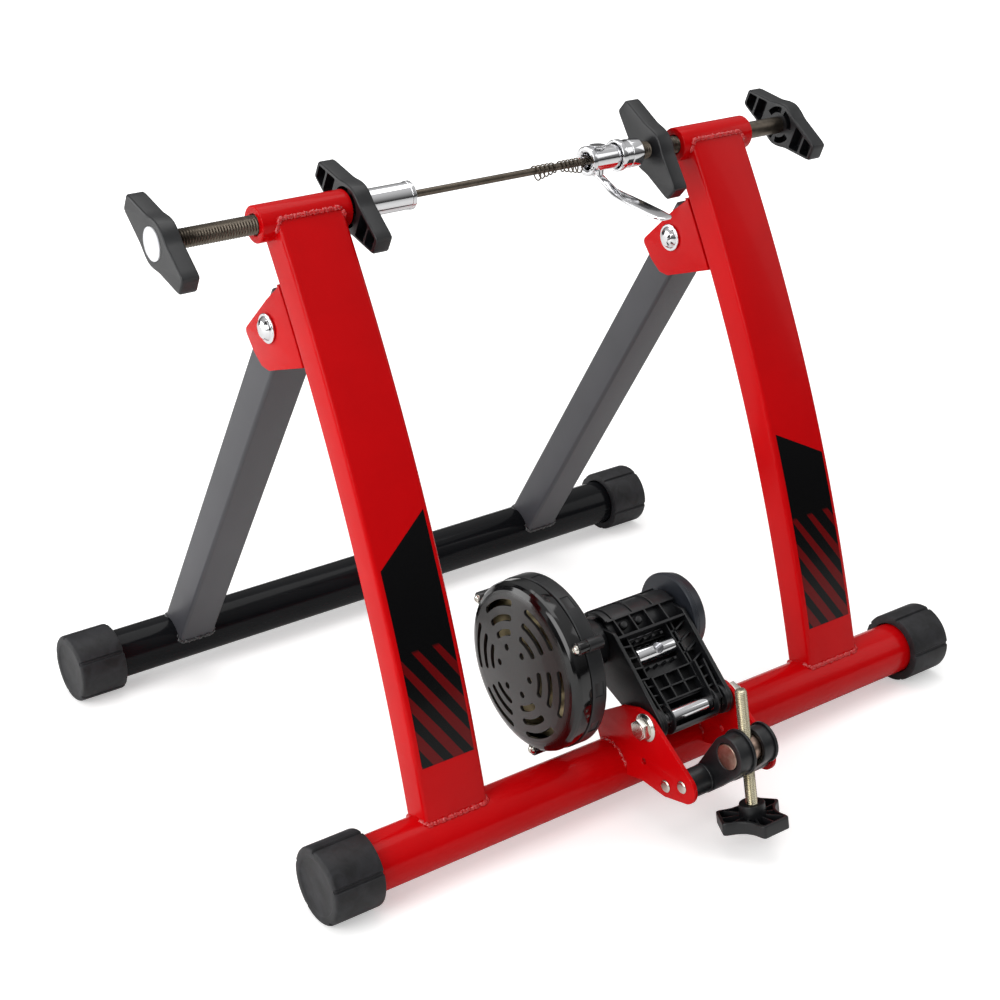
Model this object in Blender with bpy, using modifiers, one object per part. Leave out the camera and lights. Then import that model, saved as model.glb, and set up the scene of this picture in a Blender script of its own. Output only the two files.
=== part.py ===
"""A folding wheel-on bike trainer: an A-shaped steel stand that clamps a rear axle,
with a swinging magnetic resistance unit on its front tube.

Metres, +Z up, +X to the right seen from the front. Every place is measured from a
point on the floor under the middle of the front tube, which an empty holds at
FRONT_TUBE_Y, so that the world origin lies under the middle of the whole trainer.
"""

import math

import bmesh
import bpy
from mathutils import Matrix, Vector

# Clearances
TOUCH = 0.0003
SWIVEL = 0.0005

# Base tubes and their end caps
TUBE_RADIUS = 0.019
TUBE_WALL = 0.0018
FRONT_HALF_WIDTH = 0.2743
REAR_HALF_WIDTH = 0.2772
CAP_RADIUS = 0.026
CAP_LENGTH = 0.036
CAP_END_WALL = 0.004
CAP_RIM = 0.0065
CAP_RECESS = 0.0008
CAP_EDGE = 0.0015
CAP_GROOVES = 5
CAP_GROOVE_WIDTH = 0.0026
CAP_GROOVE_DEPTH = 0.0015
FRONT_LEFT_CAP_TURN = math.radians(20)
FRONT_RIGHT_CAP_TURN = math.radians(8)
REAR_LEFT_CAP_TURN = math.radians(30)
REAR_RIGHT_CAP_TURN = math.radians(-7)
CAP_SIDES = 28

# Places, from the floor point under the front tube
FRONT_TUBE_Y = -0.1302
REAR_TUBE_Y = 0.3624
AXLE_Y = 0.1449
AXLE_HEIGHT = 0.4058
PIVOT_HEIGHT = 0.3345
PIVOT_BEHIND_LEG = 0.0473
TUBE_HEIGHT = CAP_RADIUS * math.cos(math.pi / CAP_SIDES)

# Front legs: rectangular tubes bent forward in an arc
LEG_WIDTH = 0.0486
LEG_DEPTH = 0.0236
LEG_WALL = 0.0015
LEG_CORNER = 0.0025
LEG_BEND_RADIUS = 1.344
LEG_SPREAD = 0.3393
LEG_MIDDLE_X = -0.0022
LEG_STATIONS = 9

# Sleeves across the tops of the legs
SLEEVE_RADIUS = 0.012
SLEEVE_OUTWARD = 0.0343
SLEEVE_INWARD = 0.0312

# Pivot brackets behind the legs, and the fold bolts
BRACKET_PLATE = 0.003
BRACKET_TOP_SHARE = 0.536
BRACKET_FOOT_DROP = 0.0137
BRACKET_REAR = (
    (0.0, 0.0191),
    (0.0325, -0.0085),
    (0.0225, -0.0210),
    (0.0125, -0.0290),
    (0.0035, -0.0300),
)
FOLD_BOLT_RADIUS = 0.004
FOLD_WASHER_RADIUS = 0.010
FOLD_WASHER = 0.0016
FOLD_HEAD_RADIUS = 0.008
FOLD_HEAD = 0.0042
FOLD_NUT_FLATS = 0.013
FOLD_NUT = 0.0065
BOLT_END = 0.0025

# Rear legs
REAR_LEG_WIDTH = 0.030
REAR_LEG_DEPTH = 0.028
REAR_LEG_WALL = 0.0015
REAR_LEG_HEAD = 0.022

# Clamp screws, along the axle line
SCREW_RADIUS = 0.00635
LEFT_SCREW_OUT = -0.2720
RIGHT_SCREW_OUT = 0.2475
SLEEVE_BORE_PLAY = 0.0004

# Wing knobs
KNOB_HUB_RADIUS = 0.0160
KNOB_REACH = 0.0390
KNOB_ROOT = 0.0235
KNOB_TIP = 0.0128
KNOB_CHAMFER = 0.003
KNOB_DEPTH = 0.0122
KNOB_EDGE = 0.0012
KNOB_SKIN = 0.003
KNOB_RIB = 0.0018
KNOB_WALL = 0.0024
KNOB_BOSS_RADIUS = 0.0090
LEFT_KNOB_FACE = -0.2751
LEFT_KNOB_TURN = math.radians(30.5)
LEFT_LOCK_FACE = -0.1278
LEFT_LOCK_TURN = math.radians(29.5)
RIGHT_LOCK_FACE = 0.1102
RIGHT_LOCK_TURN = math.radians(45)
RIGHT_LOCK_BOSS = 0.0068
RIGHT_KNOB_FACE = 0.2508
RIGHT_KNOB_TURN = math.radians(24)
DISC_RADIUS = 0.01075
DISC_THICKNESS = 0.0014
DISC_SINK = 0.0008

# Axle cups
LEFT_CUP_BACK = -0.1275
LEFT_CUP_WALL = 0.014
LEFT_CUP_MOUTH = -0.0905
LEFT_CUP_RADIUS = 0.0091
LEFT_CUP_BORE = 0.0074
LEFT_CUP_FLANGE = 0.0096
LEFT_CUP_FLANGE_WIDTH = 0.003
RIGHT_CUP_BACK = 0.1008
RIGHT_CUP_WALL = 0.003
RIGHT_CUP_MOUTH = 0.0812
RIGHT_CUP_RADIUS = 0.0102
RIGHT_CUP_BORE = 0.0089
RIGHT_CUP_FLANGE = 0.0112
RIGHT_CUP_FLANGE_WIDTH = 0.0045

# Quick-release skewer
ROD_RADIUS = 0.0025
SKEWER_NUT_RADIUS = 0.007
SKEWER_NUT_END = -0.1052
SKEWER_NUT_LENGTH = 0.010
HOUSING_MOUTH = 0.0554
HOUSING_END = 0.0920
HOUSING_RADIUS = 0.0083
HOUSING_BORE = 0.00625
HOUSING_BORE_END = 0.078
HOUSING_FLANGE = 0.0098
HOUSING_FLANGE_WIDTH = 0.0036
CAM_X = 0.066
CAM_RADIUS = 0.0046
CAM_HEAD_RADIUS = 0.0068
CAM_HEAD = 0.0034
CAM_PLAY = 0.0012
NECK_WIDTH = 0.0056
BLADE_WIDTH = 0.0102
NECK_OUTLINE = (
    (0.0050, 0.0),
    (-0.0040, 0.0),
    (-0.0190, -0.0092),
    (-0.0205, -0.0128),
    (-0.0030, -0.0040),
    (0.0050, -0.0034),
)
BLADE_OUTLINE = ((-0.0159, -0.0078), (-0.0749, -0.0166), (-0.0752, -0.0196), (-0.0159, -0.0116))

# Cone springs on the skewer
WIRE_RADIUS = 0.0005
SPRING_WIDE = 0.0052
SPRING_TURNS = 5
POINTS_PER_TURN = 8
LEFT_SPRING_X = 0.011
LEFT_SPRING_LENGTH = 0.018
RIGHT_SPRING_X = 0.0325
RIGHT_SPRING_LENGTH = 0.018

# Resistance unit: its middle, side plates and pins
UNIT_X = -0.003
ARM_WIDTH = 0.064
ARM_SIDE_PLAY = 0.0015
UNIT_INNER = ARM_WIDTH + 2 * ARM_SIDE_PLAY
UNIT_PLATE = 0.003
PLATE_OUTLINE = (
    (0.0080, 0.0650),
    (-0.0124, 0.0780),
    (-0.0286, 0.0832),
    (-0.0376, 0.0830),
    (-0.0434, 0.0810),
    (-0.0818, 0.0550),
    (-0.0866, 0.0500),
    (-0.0868, 0.0430),
    (-0.0789, 0.0345),
    (-0.0575, 0.0290),
    (-0.0339, 0.0304),
    (-0.0130, 0.0260),
    (0.0080, 0.0360),
    (0.0150, 0.0520),
)
PLATE_HOLE_Y = -0.0360
PLATE_HOLE_HEIGHT = 0.0459
PLATE_HOLE_RADIUS = 0.00225
STAY_Y = -0.0590
STAY_HEIGHT = 0.0380
STAY_RADIUS = 0.0050
RIVET_NECK = 0.0030
RIVET_HEAD_RADIUS = 0.0044
RIVET_HEAD = 0.0014
LINK_Y = -0.0750
LINK_HEIGHT = 0.0450
LINK_PIN_RADIUS = 0.0042
ARM_PIVOT_Y = -0.0380
ARM_PIVOT_HEIGHT = 0.0730
ARM_BOLT_RADIUS = 0.0040
ARM_FLANGE_RADIUS = 0.0100
ARM_FLANGE = 0.0016
ARM_HEX_FLATS = 0.013
ARM_HEX = 0.0055
ARM_NUT = 0.0065
SPACER_RADIUS = 0.0055

# Swinging arm, in its own frame: Z runs up along its front face, Y points away from it
ARM_LEAN = math.radians(47.56)
ARM_CHEEK = 0.003
ARM_HUB_RADIUS = 0.011
ARM_FACE_TOP = 0.0576
ARM_CORNER = 0.004
ARM_SLAB_DEPTH = 0.014
ARM_SLAB_FOOT = 0.0085
ARM_SETBACK = 0.0004
ARM_FLOOR = 0.003
ARM_RIB = 0.0018
ARM_REAR = ((0.0202, 0.0242), (0.0255, 0.0397))
WINDOW_HALF = 0.0155
WINDOW_FOOT = -0.0035
ROLLER_Y = 0.0125
ROLLER_Z = 0.0699
ROLLER_RADIUS = 0.015
ROLLER_PLAY = 0.0015
ROLLER_END_PLAY = 0.0015
HOOD_INNER = 0.0175
HOOD_OUTER = 0.021
HOOD_START = math.radians(60)
HOOD_END = math.radians(228)
HOOD_STEPS = 9
PANEL_START = math.radians(75)
PANEL_END = math.radians(205)
HOOD_PANELS = 4
HOOD_PANEL_DEPTH = 0.0012
HOOD_RIB = 0.0022
BEARING_RADIUS = 0.011
BEARING_WIDTH = 0.007
BEARING_WALL = 0.003
SHAFT_RADIUS = 0.004
SHAFT_END = 0.0023
NUT_Y = 0.0005
NUT_Z = 0.0465
NUT_RADIUS = 0.007
NUT_LENGTH = 0.036
NUT_FLAT = 0.0045
NUT_HOLE = 0.0042
SADDLE_WALL = 0.0037
SADDLE_BACK = 0.0118

# Flywheel
FLYWHEEL_RADIUS = 0.030
FLYWHEEL_OUTER_RADIUS = 0.0275
FLYWHEEL_GAP = 0.0012
FLYWHEEL_WIDTH = 0.012
FLYWHEEL_LEFT = ARM_WIDTH / 2 + FLYWHEEL_GAP
FLYWHEEL_RIGHT = FLYWHEEL_LEFT + FLYWHEEL_WIDTH
FLYWHEEL_EDGE = 0.001
FLYWHEEL_RECESS = 0.002
FLYWHEEL_HUB_RADIUS = 0.0105
FLYWHEEL_RIM_INSIDE = 0.0225

# Magnet drum, left of the arm
DRUM_STANDOFF = 0.037
HOUSING_DEPTH = 0.012
COVER_DEPTH = 0.0122
DRUM_BACK = -ARM_WIDTH / 2 - DRUM_STANDOFF
DRUM_JOINT = DRUM_BACK - HOUSING_DEPTH
DRUM_FACE = DRUM_JOINT - COVER_DEPTH
DRUM_DOME = ((-0.0078, 0.0), (-0.0072, 0.0195), (-0.0042, 0.0395))
DRUM_RADIUS = 0.0590
DRUM_WALL = 0.0025
DRUM_BACK_RADIUS = 0.0597
DRUM_EDGE = 0.003
NECK_RADIUS = 0.016
NECK_BORE = 0.006
NECK_CONE = 0.008
EAR_CIRCLE = 0.0625
EAR_RADIUS = 0.0045
EAR_DEPTH = 0.0075
EAR_ANGLES = [ARM_LEAN + math.radians(27 + 120 * step) for step in range(3)]
EAR_SCREW_RADIUS = 0.0016
EAR_SCREW_HEAD = 0.0032
EAR_SCREW_LENGTH = 0.0150
VENT_RADII = (0.049, 0.040, 0.031)
VENT_SPANS = (math.radians(42), math.radians(40), math.radians(38))
VENT_WIDTH = 0.0044
VENT_SECTORS = 6
VENT_TURN = ARM_LEAN
VENT_OVAL_CIRCLE = 0.0195
VENT_OVAL = 0.0042
ROTOR_RADIUS = 0.050
ROTOR_AHEAD = 0.0040
ROTOR_THICKNESS = 0.002
ROTOR_HUB_RADIUS = 0.009
ROTOR_HUB = 0.007
MAGNET_INNER = 0.027
MAGNET_OUTER = 0.048
MAGNET_DEPTH = 0.009

# Tension link, cross pin and adjusting bolt
LINK_SLEEVE_RADIUS = 0.010
LINK_COLLAR_RADIUS = 0.0112
LINK_COLLAR = 0.002
CROSS_Y = -0.0208
CROSS_Z = 0.0254
LEFT_BOSS_RADIUS = 0.0155
RIGHT_BOSS_RADIUS = 0.0138
LEFT_BOSS_END = -0.017
RIGHT_BOSS_END = 0.0158
BOSS_INNER = 0.005
CROSS_RADIUS = 0.009
BOLT_LEAN = math.radians(10.4)
BOLT_RADIUS = 0.004
BOLT_TOP = 0.0418
BOLT_TIP_TAPER = 0.0012
GRIP_TOP = -0.0377
GRIP_LOBE_TOP = -0.0448
GRIP_BOTTOM = -0.0537
GRIP_HUB_RADIUS = 0.0092
GRIP_REACH = 0.0230
GRIP_TIP = 0.0170
GRIP_TIP_CHAMFER = 0.002
GRIP_VALLEY = 0.0130
GRIP_EDGE = 0.001
GRIP_FLOOR = 0.003
GRIP_WALL = 0.002
GRIP_TURN = math.radians(30)
GRIP_BOLT_DEPTH = 0.0130

FULL_TURN = 2 * math.pi
BIG_SIDES = 32
ROUND_SIDES = 20
SMALL_SIDES = 16
HOLE_SIDES = 10
WELD = 0.000002


for leftover in list(bpy.data.objects):
    bpy.data.objects.remove(leftover, do_unlink=True)
trainer = bpy.data.collections.new("bike_trainer")
cutters = bpy.data.collections.new("cutters")
for group in (trainer, cutters):
    bpy.context.scene.collection.children.link(group)


def finish(name, colour, roughness, metallic=0.0):
    """A plain surface with the colour that the piece has."""
    material = bpy.data.materials.new(name)
    material.use_nodes = True
    surface = material.node_tree.nodes["Principled BSDF"]
    surface.inputs["Base Color"].default_value = (*colour, 1.0)
    surface.inputs["Roughness"].default_value = roughness
    surface.inputs["Metallic"].default_value = metallic
    return material


RED_PAINT = finish("red_powder_coat", (0.42, 0.004, 0.006), 0.25)
BLACK_PAINT = finish("black_gloss_paint", (0.008, 0.008, 0.009), 0.15)
GREY_PAINT = finish("dark_grey_paint", (0.055, 0.055, 0.06), 0.5)
RUBBER = finish("black_rubber", (0.016, 0.016, 0.017), 0.75)
NYLON = finish("black_nylon", (0.02, 0.021, 0.023), 0.5)
GLOSS_PLASTIC = finish("black_gloss_plastic", (0.01, 0.01, 0.011), 0.12)
CHROME = finish("chrome_plate", (0.75, 0.75, 0.76), 0.08, 1.0)
ZINC = finish("zinc_plate", (0.55, 0.54, 0.5), 0.3, 1.0)
DARK_STEEL = finish("dark_steel", (0.12, 0.11, 0.1), 0.4, 1.0)
COPPER_STEEL = finish("copper_washed_steel", (0.45, 0.3, 0.24), 0.35, 1.0)
ALUMINIUM = finish("aluminium", (0.6, 0.6, 0.61), 0.3, 1.0)
LABEL = finish("silver_disc", (0.7, 0.7, 0.7), 0.4)


def axis_empty(name, place, parent=None, lean=0.0):
    """A joint's axis, or a shared line: it lies along the empty's own X."""
    empty = bpy.data.objects.new(name, None)
    empty.empty_display_size = 0.02
    empty.location = place
    empty.rotation_euler = (lean, 0, 0)
    empty.parent = parent
    trainer.objects.link(empty)
    return empty


def new_object(name, fill):
    """An object whose mesh the function fill makes in a bmesh."""
    work = bmesh.new()
    fill(work)
    mesh = bpy.data.meshes.new(name)
    work.to_mesh(mesh)
    work.free()
    return bpy.data.objects.new(name, mesh)


def turned(name, profile, sides=ROUND_SIDES, axis="X"):
    """A profile of (along, radius) points, spun about X or Z. A profile that
    starts and ends on the axis makes a solid, and any other makes a ring."""
    loop = list(zip(profile, profile[1:] + profile[:1]))
    area = sum(a[1] * b[0] - b[1] * a[0] for a, b in loop)
    points = profile if area < 0 else profile[::-1]
    ring = all(radius > 0 for _, radius in profile)
    half_step = math.pi / sides

    def fill(work):
        corners = []
        for along, radius in points:
            across = (radius * math.cos(half_step), radius * math.sin(half_step))
            place = (along, *across) if axis == "X" else (*across, along)
            corners.append(work.verts.new(place))
        for first, second in zip(corners, corners[1:]):
            work.edges.new((first, second))
        if ring:
            work.edges.new((corners[-1], corners[0]))

    obj = new_object(name, fill)
    spin = obj.modifiers.new("spin", "SCREW")
    spin.axis = axis
    spin.angle = FULL_TURN
    spin.steps = sides
    spin.render_steps = sides
    spin.use_merge_vertices = True
    spin.merge_threshold = 0.00001
    return obj


def cylinder(name, radius, low, high, sides=ROUND_SIDES, axis="X", bore=0.0):
    if bore:
        profile = [(high, radius), (low, radius), (low, bore), (high, bore)]
    else:
        profile = [(high, 0.0), (high, radius), (low, radius), (low, 0.0)]
    return turned(name, profile, sides, axis)


def box(name, low, high):
    """A box between two corners."""
    size = [b - a for a, b in zip(low, high)]
    middle = [(a + b) / 2 for a, b in zip(low, high)]
    shape = Matrix.Translation(middle) @ Matrix.Diagonal((*size, 1.0))
    return new_object(name, lambda work: bmesh.ops.create_cube(work, size=1.0, matrix=shape))


def boxes(name, pairs):
    """Several boxes that stand apart, as one cutter."""

    def fill(work):
        for low, high in pairs:
            size = [b - a for a, b in zip(low, high)]
            middle = [(a + b) / 2 for a, b in zip(low, high)]
            shape = Matrix.Translation(middle) @ Matrix.Diagonal((*size, 1.0))
            bmesh.ops.create_cube(work, size=1.0, matrix=shape)

    return new_object(name, fill)


def prism(name, outlines, low, high, axis="X"):
    """Flat outlines, of (y, z) points drawn from low to high along X, or of (x, y)
    points along Z. An outline inside another is a hole."""
    curve = bpy.data.curves.new(name, "CURVE")
    curve.dimensions = "2D"
    curve.fill_mode = "BOTH"
    curve.extrude = (high - low) / 2
    for outline in outlines:
        spline = curve.splines.new("POLY")
        spline.points.add(len(outline) - 1)
        for point, (first, second) in zip(spline.points, outline):
            point.co = (first, second, 0, 1)
        spline.use_cyclic_u = True
    drawing = bpy.data.objects.new(name + "_outline", curve)
    bpy.context.scene.collection.objects.link(drawing)
    graph = bpy.context.evaluated_depsgraph_get()
    mesh = bpy.data.meshes.new_from_object(drawing.evaluated_get(graph))
    bpy.data.objects.remove(drawing, do_unlink=True)
    middle = (low + high) / 2
    if axis == "X":
        turn = Matrix(((0, 0, 1, middle), (1, 0, 0, 0), (0, 1, 0, 0), (0, 0, 0, 1)))
    else:
        turn = Matrix.Translation((0, 0, middle))
    mesh.transform(turn)
    work = bmesh.new()
    work.from_mesh(mesh)
    bmesh.ops.remove_doubles(work, verts=work.verts, dist=WELD)
    bmesh.ops.dissolve_limit(work, angle_limit=0.001, verts=work.verts, edges=work.edges)
    bmesh.ops.recalc_face_normals(work, faces=work.faces)
    work.to_mesh(mesh)
    work.free()
    mesh.materials.clear()
    return bpy.data.objects.new(name, mesh)


def arc(centre, radius, start, end, steps):
    """Points (first, second) along an arc."""
    angles = [start + (end - start) * step / steps for step in range(steps + 1)]
    return [(centre[0] + radius * math.cos(a), centre[1] + radius * math.sin(a)) for a in angles]


def circle(centre, radius, sides=SMALL_SIDES):
    return arc(centre, radius, 0, FULL_TURN, sides)[:-1]


def hexagon(flats):
    return circle((0, 0), flats / math.sqrt(3), 6)


def shifted(points, offset):
    return [(first + offset[0], second + offset[1]) for first, second in points]


def rounded(outline, radius, steps=3):
    """The outline with each corner replaced by an arc of this radius, where it fits."""
    points = []
    count = len(outline)
    for index in range(count):
        corner = Vector(outline[index])
        back = Vector(outline[index - 1]) - corner
        ahead = Vector(outline[(index + 1) % count]) - corner
        half = back.angle(ahead) / 2
        reach = min(radius / math.tan(half), 0.45 * back.length, 0.45 * ahead.length)
        inner = reach * math.tan(half)
        centre = corner + (back.normalized() + ahead.normalized()).normalized() * (
            inner / math.sin(half)
        )
        start = corner + back.normalized() * reach - centre
        end = corner + ahead.normalized() * reach - centre
        for step in range(steps + 1):
            blend = start.lerp(end, step / steps).normalized() * inner
            points.append(tuple(centre + blend))
    return points


def hide(obj, parent):
    """A cutter, or a shape that is joined to another."""
    cutters.objects.link(obj)
    obj.parent = parent
    obj.hide_render = True
    obj.display_type = "WIRE"
    return obj


def part(obj, parent, material):
    """A piece of the trainer, placed from its parent's line."""
    trainer.objects.link(obj)
    obj.parent = parent
    obj.data.materials.append(material)
    return obj


def combine(obj, operation, *others):
    """Cuts the other shapes from the object, or joins them to it."""
    for other in others:
        change = obj.modifiers.new(other.name, "BOOLEAN")
        change.operation = operation
        change.solver = "EXACT"
        change.object = hide(other, obj.parent)


def round_edges(obj, width, segments=1):
    bevel = obj.modifiers.new("edges", "BEVEL")
    bevel.width = width
    bevel.segments = segments
    bevel.limit_method = "ANGLE"
    bevel.angle_limit = math.radians(40)


leg_foot = Vector((0, TUBE_HEIGHT))
leg_head = Vector((AXLE_Y, AXLE_HEIGHT))
leg_chord = leg_head - leg_foot
leg_half_angle = math.asin(leg_chord.length / 2 / LEG_BEND_RADIUS)
leg_along = leg_chord.normalized()
leg_behind = Vector((leg_along[1], -leg_along[0]))
leg_centre = (leg_foot + leg_head) / 2 + leg_behind * (
    LEG_BEND_RADIUS * math.cos(leg_half_angle)
)


def leg_y(height, forward=0.0):
    """How far back this line, in front of a leg's middle line, lies at this height."""
    radius = LEG_BEND_RADIUS + forward
    return leg_centre[0] - math.sqrt(radius ** 2 - (height - leg_centre[1]) ** 2)


PIVOT_Y = leg_y(PIVOT_HEIGHT) + PIVOT_BEHIND_LEG
frame_line = axis_empty("front_tube_line", (0, FRONT_TUBE_Y, 0))
fold_vector = Vector((REAR_TUBE_Y - PIVOT_Y, TUBE_HEIGHT - PIVOT_HEIGHT))
fold_lean = math.atan2(fold_vector[0], -fold_vector[1])
fold_line = axis_empty("fold_axis", (0, PIVOT_Y, PIVOT_HEIGHT), frame_line, fold_lean)
clamp_line = axis_empty("clamp_axis", (0, AXLE_Y, AXLE_HEIGHT), frame_line)
lever_line = axis_empty("lever_axis", (CAM_X, 0, 0), clamp_line)
arm_line = axis_empty(
    "arm_axis", (UNIT_X, ARM_PIVOT_Y, ARM_PIVOT_HEIGHT), frame_line, -ARM_LEAN
)
roller_line = axis_empty("roller_axis", (0, ROLLER_Y, ROLLER_Z), arm_line)
nut_line = axis_empty("barrel_nut_axis", (0, NUT_Y, NUT_Z), arm_line)
link_line = axis_empty("link_axis", (UNIT_X, LINK_Y, LINK_HEIGHT), frame_line)
bolt_line = axis_empty("cross_pin_axis", (0, CROSS_Y, CROSS_Z), link_line, -BOLT_LEAN)


# Base tubes and end caps

def base_tube(name, half_width, parent, place, material):
    """An open steel tube that ends just inside its caps."""
    end = half_width - CAP_END_WALL - CAP_RECESS - TOUCH
    obj = cylinder(name, TUBE_RADIUS, -end, end, CAP_SIDES, bore=TUBE_RADIUS - TUBE_WALL)
    obj.location = place
    return part(obj, parent, material)


def end_cap_mesh(first_groove):
    """A rubber cup with its mouth towards +X, a sunk end face and grooves along it."""
    bore = TUBE_RADIUS + TOUCH
    floor = CAP_RECESS + CAP_END_WALL
    profile = [
        (CAP_RECESS, 0.0),
        (CAP_RECESS, CAP_RADIUS - CAP_RIM),
        (0.0, CAP_RADIUS - CAP_RIM + CAP_RECESS),
        (0.0, CAP_RADIUS - CAP_EDGE),
        (CAP_EDGE, CAP_RADIUS),
        (CAP_LENGTH, CAP_RADIUS),
        (CAP_LENGTH, bore),
        (floor, bore),
        (floor, 0.0),
    ]
    cap = turned("end_cap", profile, CAP_SIDES)

    def fill(work):
        for step in range(CAP_GROOVES):
            turn = Matrix.Rotation(first_groove + FULL_TURN * step / CAP_GROOVES, 4, "X")
            low = Vector((-CAP_EDGE, -CAP_GROOVE_WIDTH / 2, CAP_RADIUS - CAP_GROOVE_DEPTH))
            high = Vector((CAP_LENGTH + CAP_EDGE, CAP_GROOVE_WIDTH / 2, CAP_RADIUS + CAP_EDGE))
            shape = Matrix.Translation((low + high) / 2) @ Matrix.Diagonal((*(high - low), 1.0))
            bmesh.ops.create_cube(work, size=1.0, matrix=turn @ shape)

    combine(cap, "DIFFERENCE", new_object("cap_grooves", fill))
    return cap


def end_cap(name, side, half_width, parent, place, turn, lean=0.0):
    """One of the four rubber feet. Its flat lowest facet stands on the floor, and
    turn is the angle of one groove above the front."""
    cap = end_cap_mesh(side * (turn - math.pi / 2))
    cap.name = name
    cap.modifiers[1].object.parent = cap
    cap.location = (place[0] + side * half_width, place[1], place[2])
    cap.rotation_euler = (side * lean, 0, 0 if side < 0 else math.pi)
    return part(cap, parent, RUBBER)


FRONT_PLACE = (0, 0, TUBE_HEIGHT)
REAR_PLACE = (0, 0, -fold_vector.length)
base_tube("front_base_tube", FRONT_HALF_WIDTH, frame_line, FRONT_PLACE, RED_PAINT)
end_cap("front_left_end_cap", -1, FRONT_HALF_WIDTH, frame_line, FRONT_PLACE, FRONT_LEFT_CAP_TURN)
end_cap("front_right_end_cap", 1, FRONT_HALF_WIDTH, frame_line, FRONT_PLACE, FRONT_RIGHT_CAP_TURN)


# Front legs

LEG_X = (LEG_MIDDLE_X - LEG_SPREAD / 2, LEG_MIDDLE_X + LEG_SPREAD / 2)


def leg_band(inner, outer, spare=0.0):
    """The side outline between two radii about the leg's centre of bend."""
    toward = math.atan2(-leg_behind[1], -leg_behind[0])
    half = leg_half_angle + spare
    front = arc(leg_centre, outer, toward + half, toward - half, LEG_STATIONS)
    rear = arc(leg_centre, inner, toward - half, toward + half, LEG_STATIONS)
    return front + rear


def front_leg(name, middle):
    """A bent rectangular tube, fish-mouthed to the base tube and to the sleeve."""
    half_depth = LEG_DEPTH / 2
    half_width = LEG_WIDTH / 2
    outline = leg_band(LEG_BEND_RADIUS - half_depth, LEG_BEND_RADIUS + half_depth)
    leg = prism(name, [outline], middle - half_width, middle + half_width)
    part(leg, frame_line, RED_PAINT)
    round_edges(leg, LEG_CORNER)
    bore = half_depth - LEG_WALL
    hollow = leg_band(LEG_BEND_RADIUS - bore, LEG_BEND_RADIUS + bore, 0.002)
    inside = half_width - LEG_WALL
    foot_cut = cylinder(name + "_foot_cut", TUBE_RADIUS + TOUCH, -LEG_WIDTH, LEG_WIDTH)
    foot_cut.location = (middle, 0, TUBE_HEIGHT)
    head_cut = cylinder(name + "_head_cut", SLEEVE_RADIUS + TOUCH, -LEG_WIDTH, LEG_WIDTH)
    head_cut.location = (middle, AXLE_Y, AXLE_HEIGHT)
    combine(
        leg,
        "DIFFERENCE",
        prism(name + "_hollow", [hollow], middle - inside, middle + inside),
        foot_cut,
        head_cut,
    )


def axle_sleeve(name, middle, side):
    """The thick tube across a leg's top, which the clamp screw runs through."""
    ends = sorted((middle + side * SLEEVE_OUTWARD, middle - side * SLEEVE_INWARD))
    bore = SCREW_RADIUS + SLEEVE_BORE_PLAY
    part(cylinder(name, SLEEVE_RADIUS, *ends, bore=bore), clamp_line, RED_PAINT)


for word, side, middle in (("left", -1, LEG_X[0]), ("right", 1, LEG_X[1])):
    front_leg(f"{word}_leg", middle)
    axle_sleeve(f"{word}_axle_sleeve", middle, side)


# Pivot brackets and fold bolts

BRACKET_INNER = REAR_LEG_WIDTH + 2 * SWIVEL
BRACKET_WIDTH = BRACKET_INNER + 2 * BRACKET_PLATE
BRACKET_X = [middle - LEG_WIDTH / 2 for middle in LEG_X]


def pivot_bracket(name, left):
    """A folded U behind the leg: two ears, and a web against the leg's rear face."""
    pivot = (PIVOT_Y, PIVOT_HEIGHT)
    top = PIVOT_HEIGHT + BRACKET_TOP_SHARE * (AXLE_HEIGHT - PIVOT_HEIGHT)
    foot = PIVOT_HEIGHT - BRACKET_FOOT_DROP
    in_leg = -LEG_DEPTH / 5
    outline = [(leg_y(foot, in_leg), foot), (leg_y(top, in_leg), top)]
    outline += shifted(BRACKET_REAR, pivot)
    hole = circle(pivot, FOLD_BOLT_RADIUS + TOUCH)
    bracket = prism(name, [outline, hole], left, left + BRACKET_WIDTH)
    part(bracket, frame_line, RED_PAINT)
    leg_rear = LEG_BEND_RADIUS - LEG_DEPTH / 2 - TOUCH
    web = leg_rear - BRACKET_PLATE
    inner_left = left + BRACKET_PLATE
    deep = web - 3 * REAR_LEG_DEPTH
    combine(
        bracket,
        "DIFFERENCE",
        prism(name + "_leg_cut", [leg_band(leg_rear, LEG_BEND_RADIUS + LEG_DEPTH)],
              left - BRACKET_PLATE, left + BRACKET_WIDTH + BRACKET_PLATE),
        prism(name + "_hollow", [leg_band(deep, web)], inner_left, inner_left + BRACKET_INNER),
    )


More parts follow.
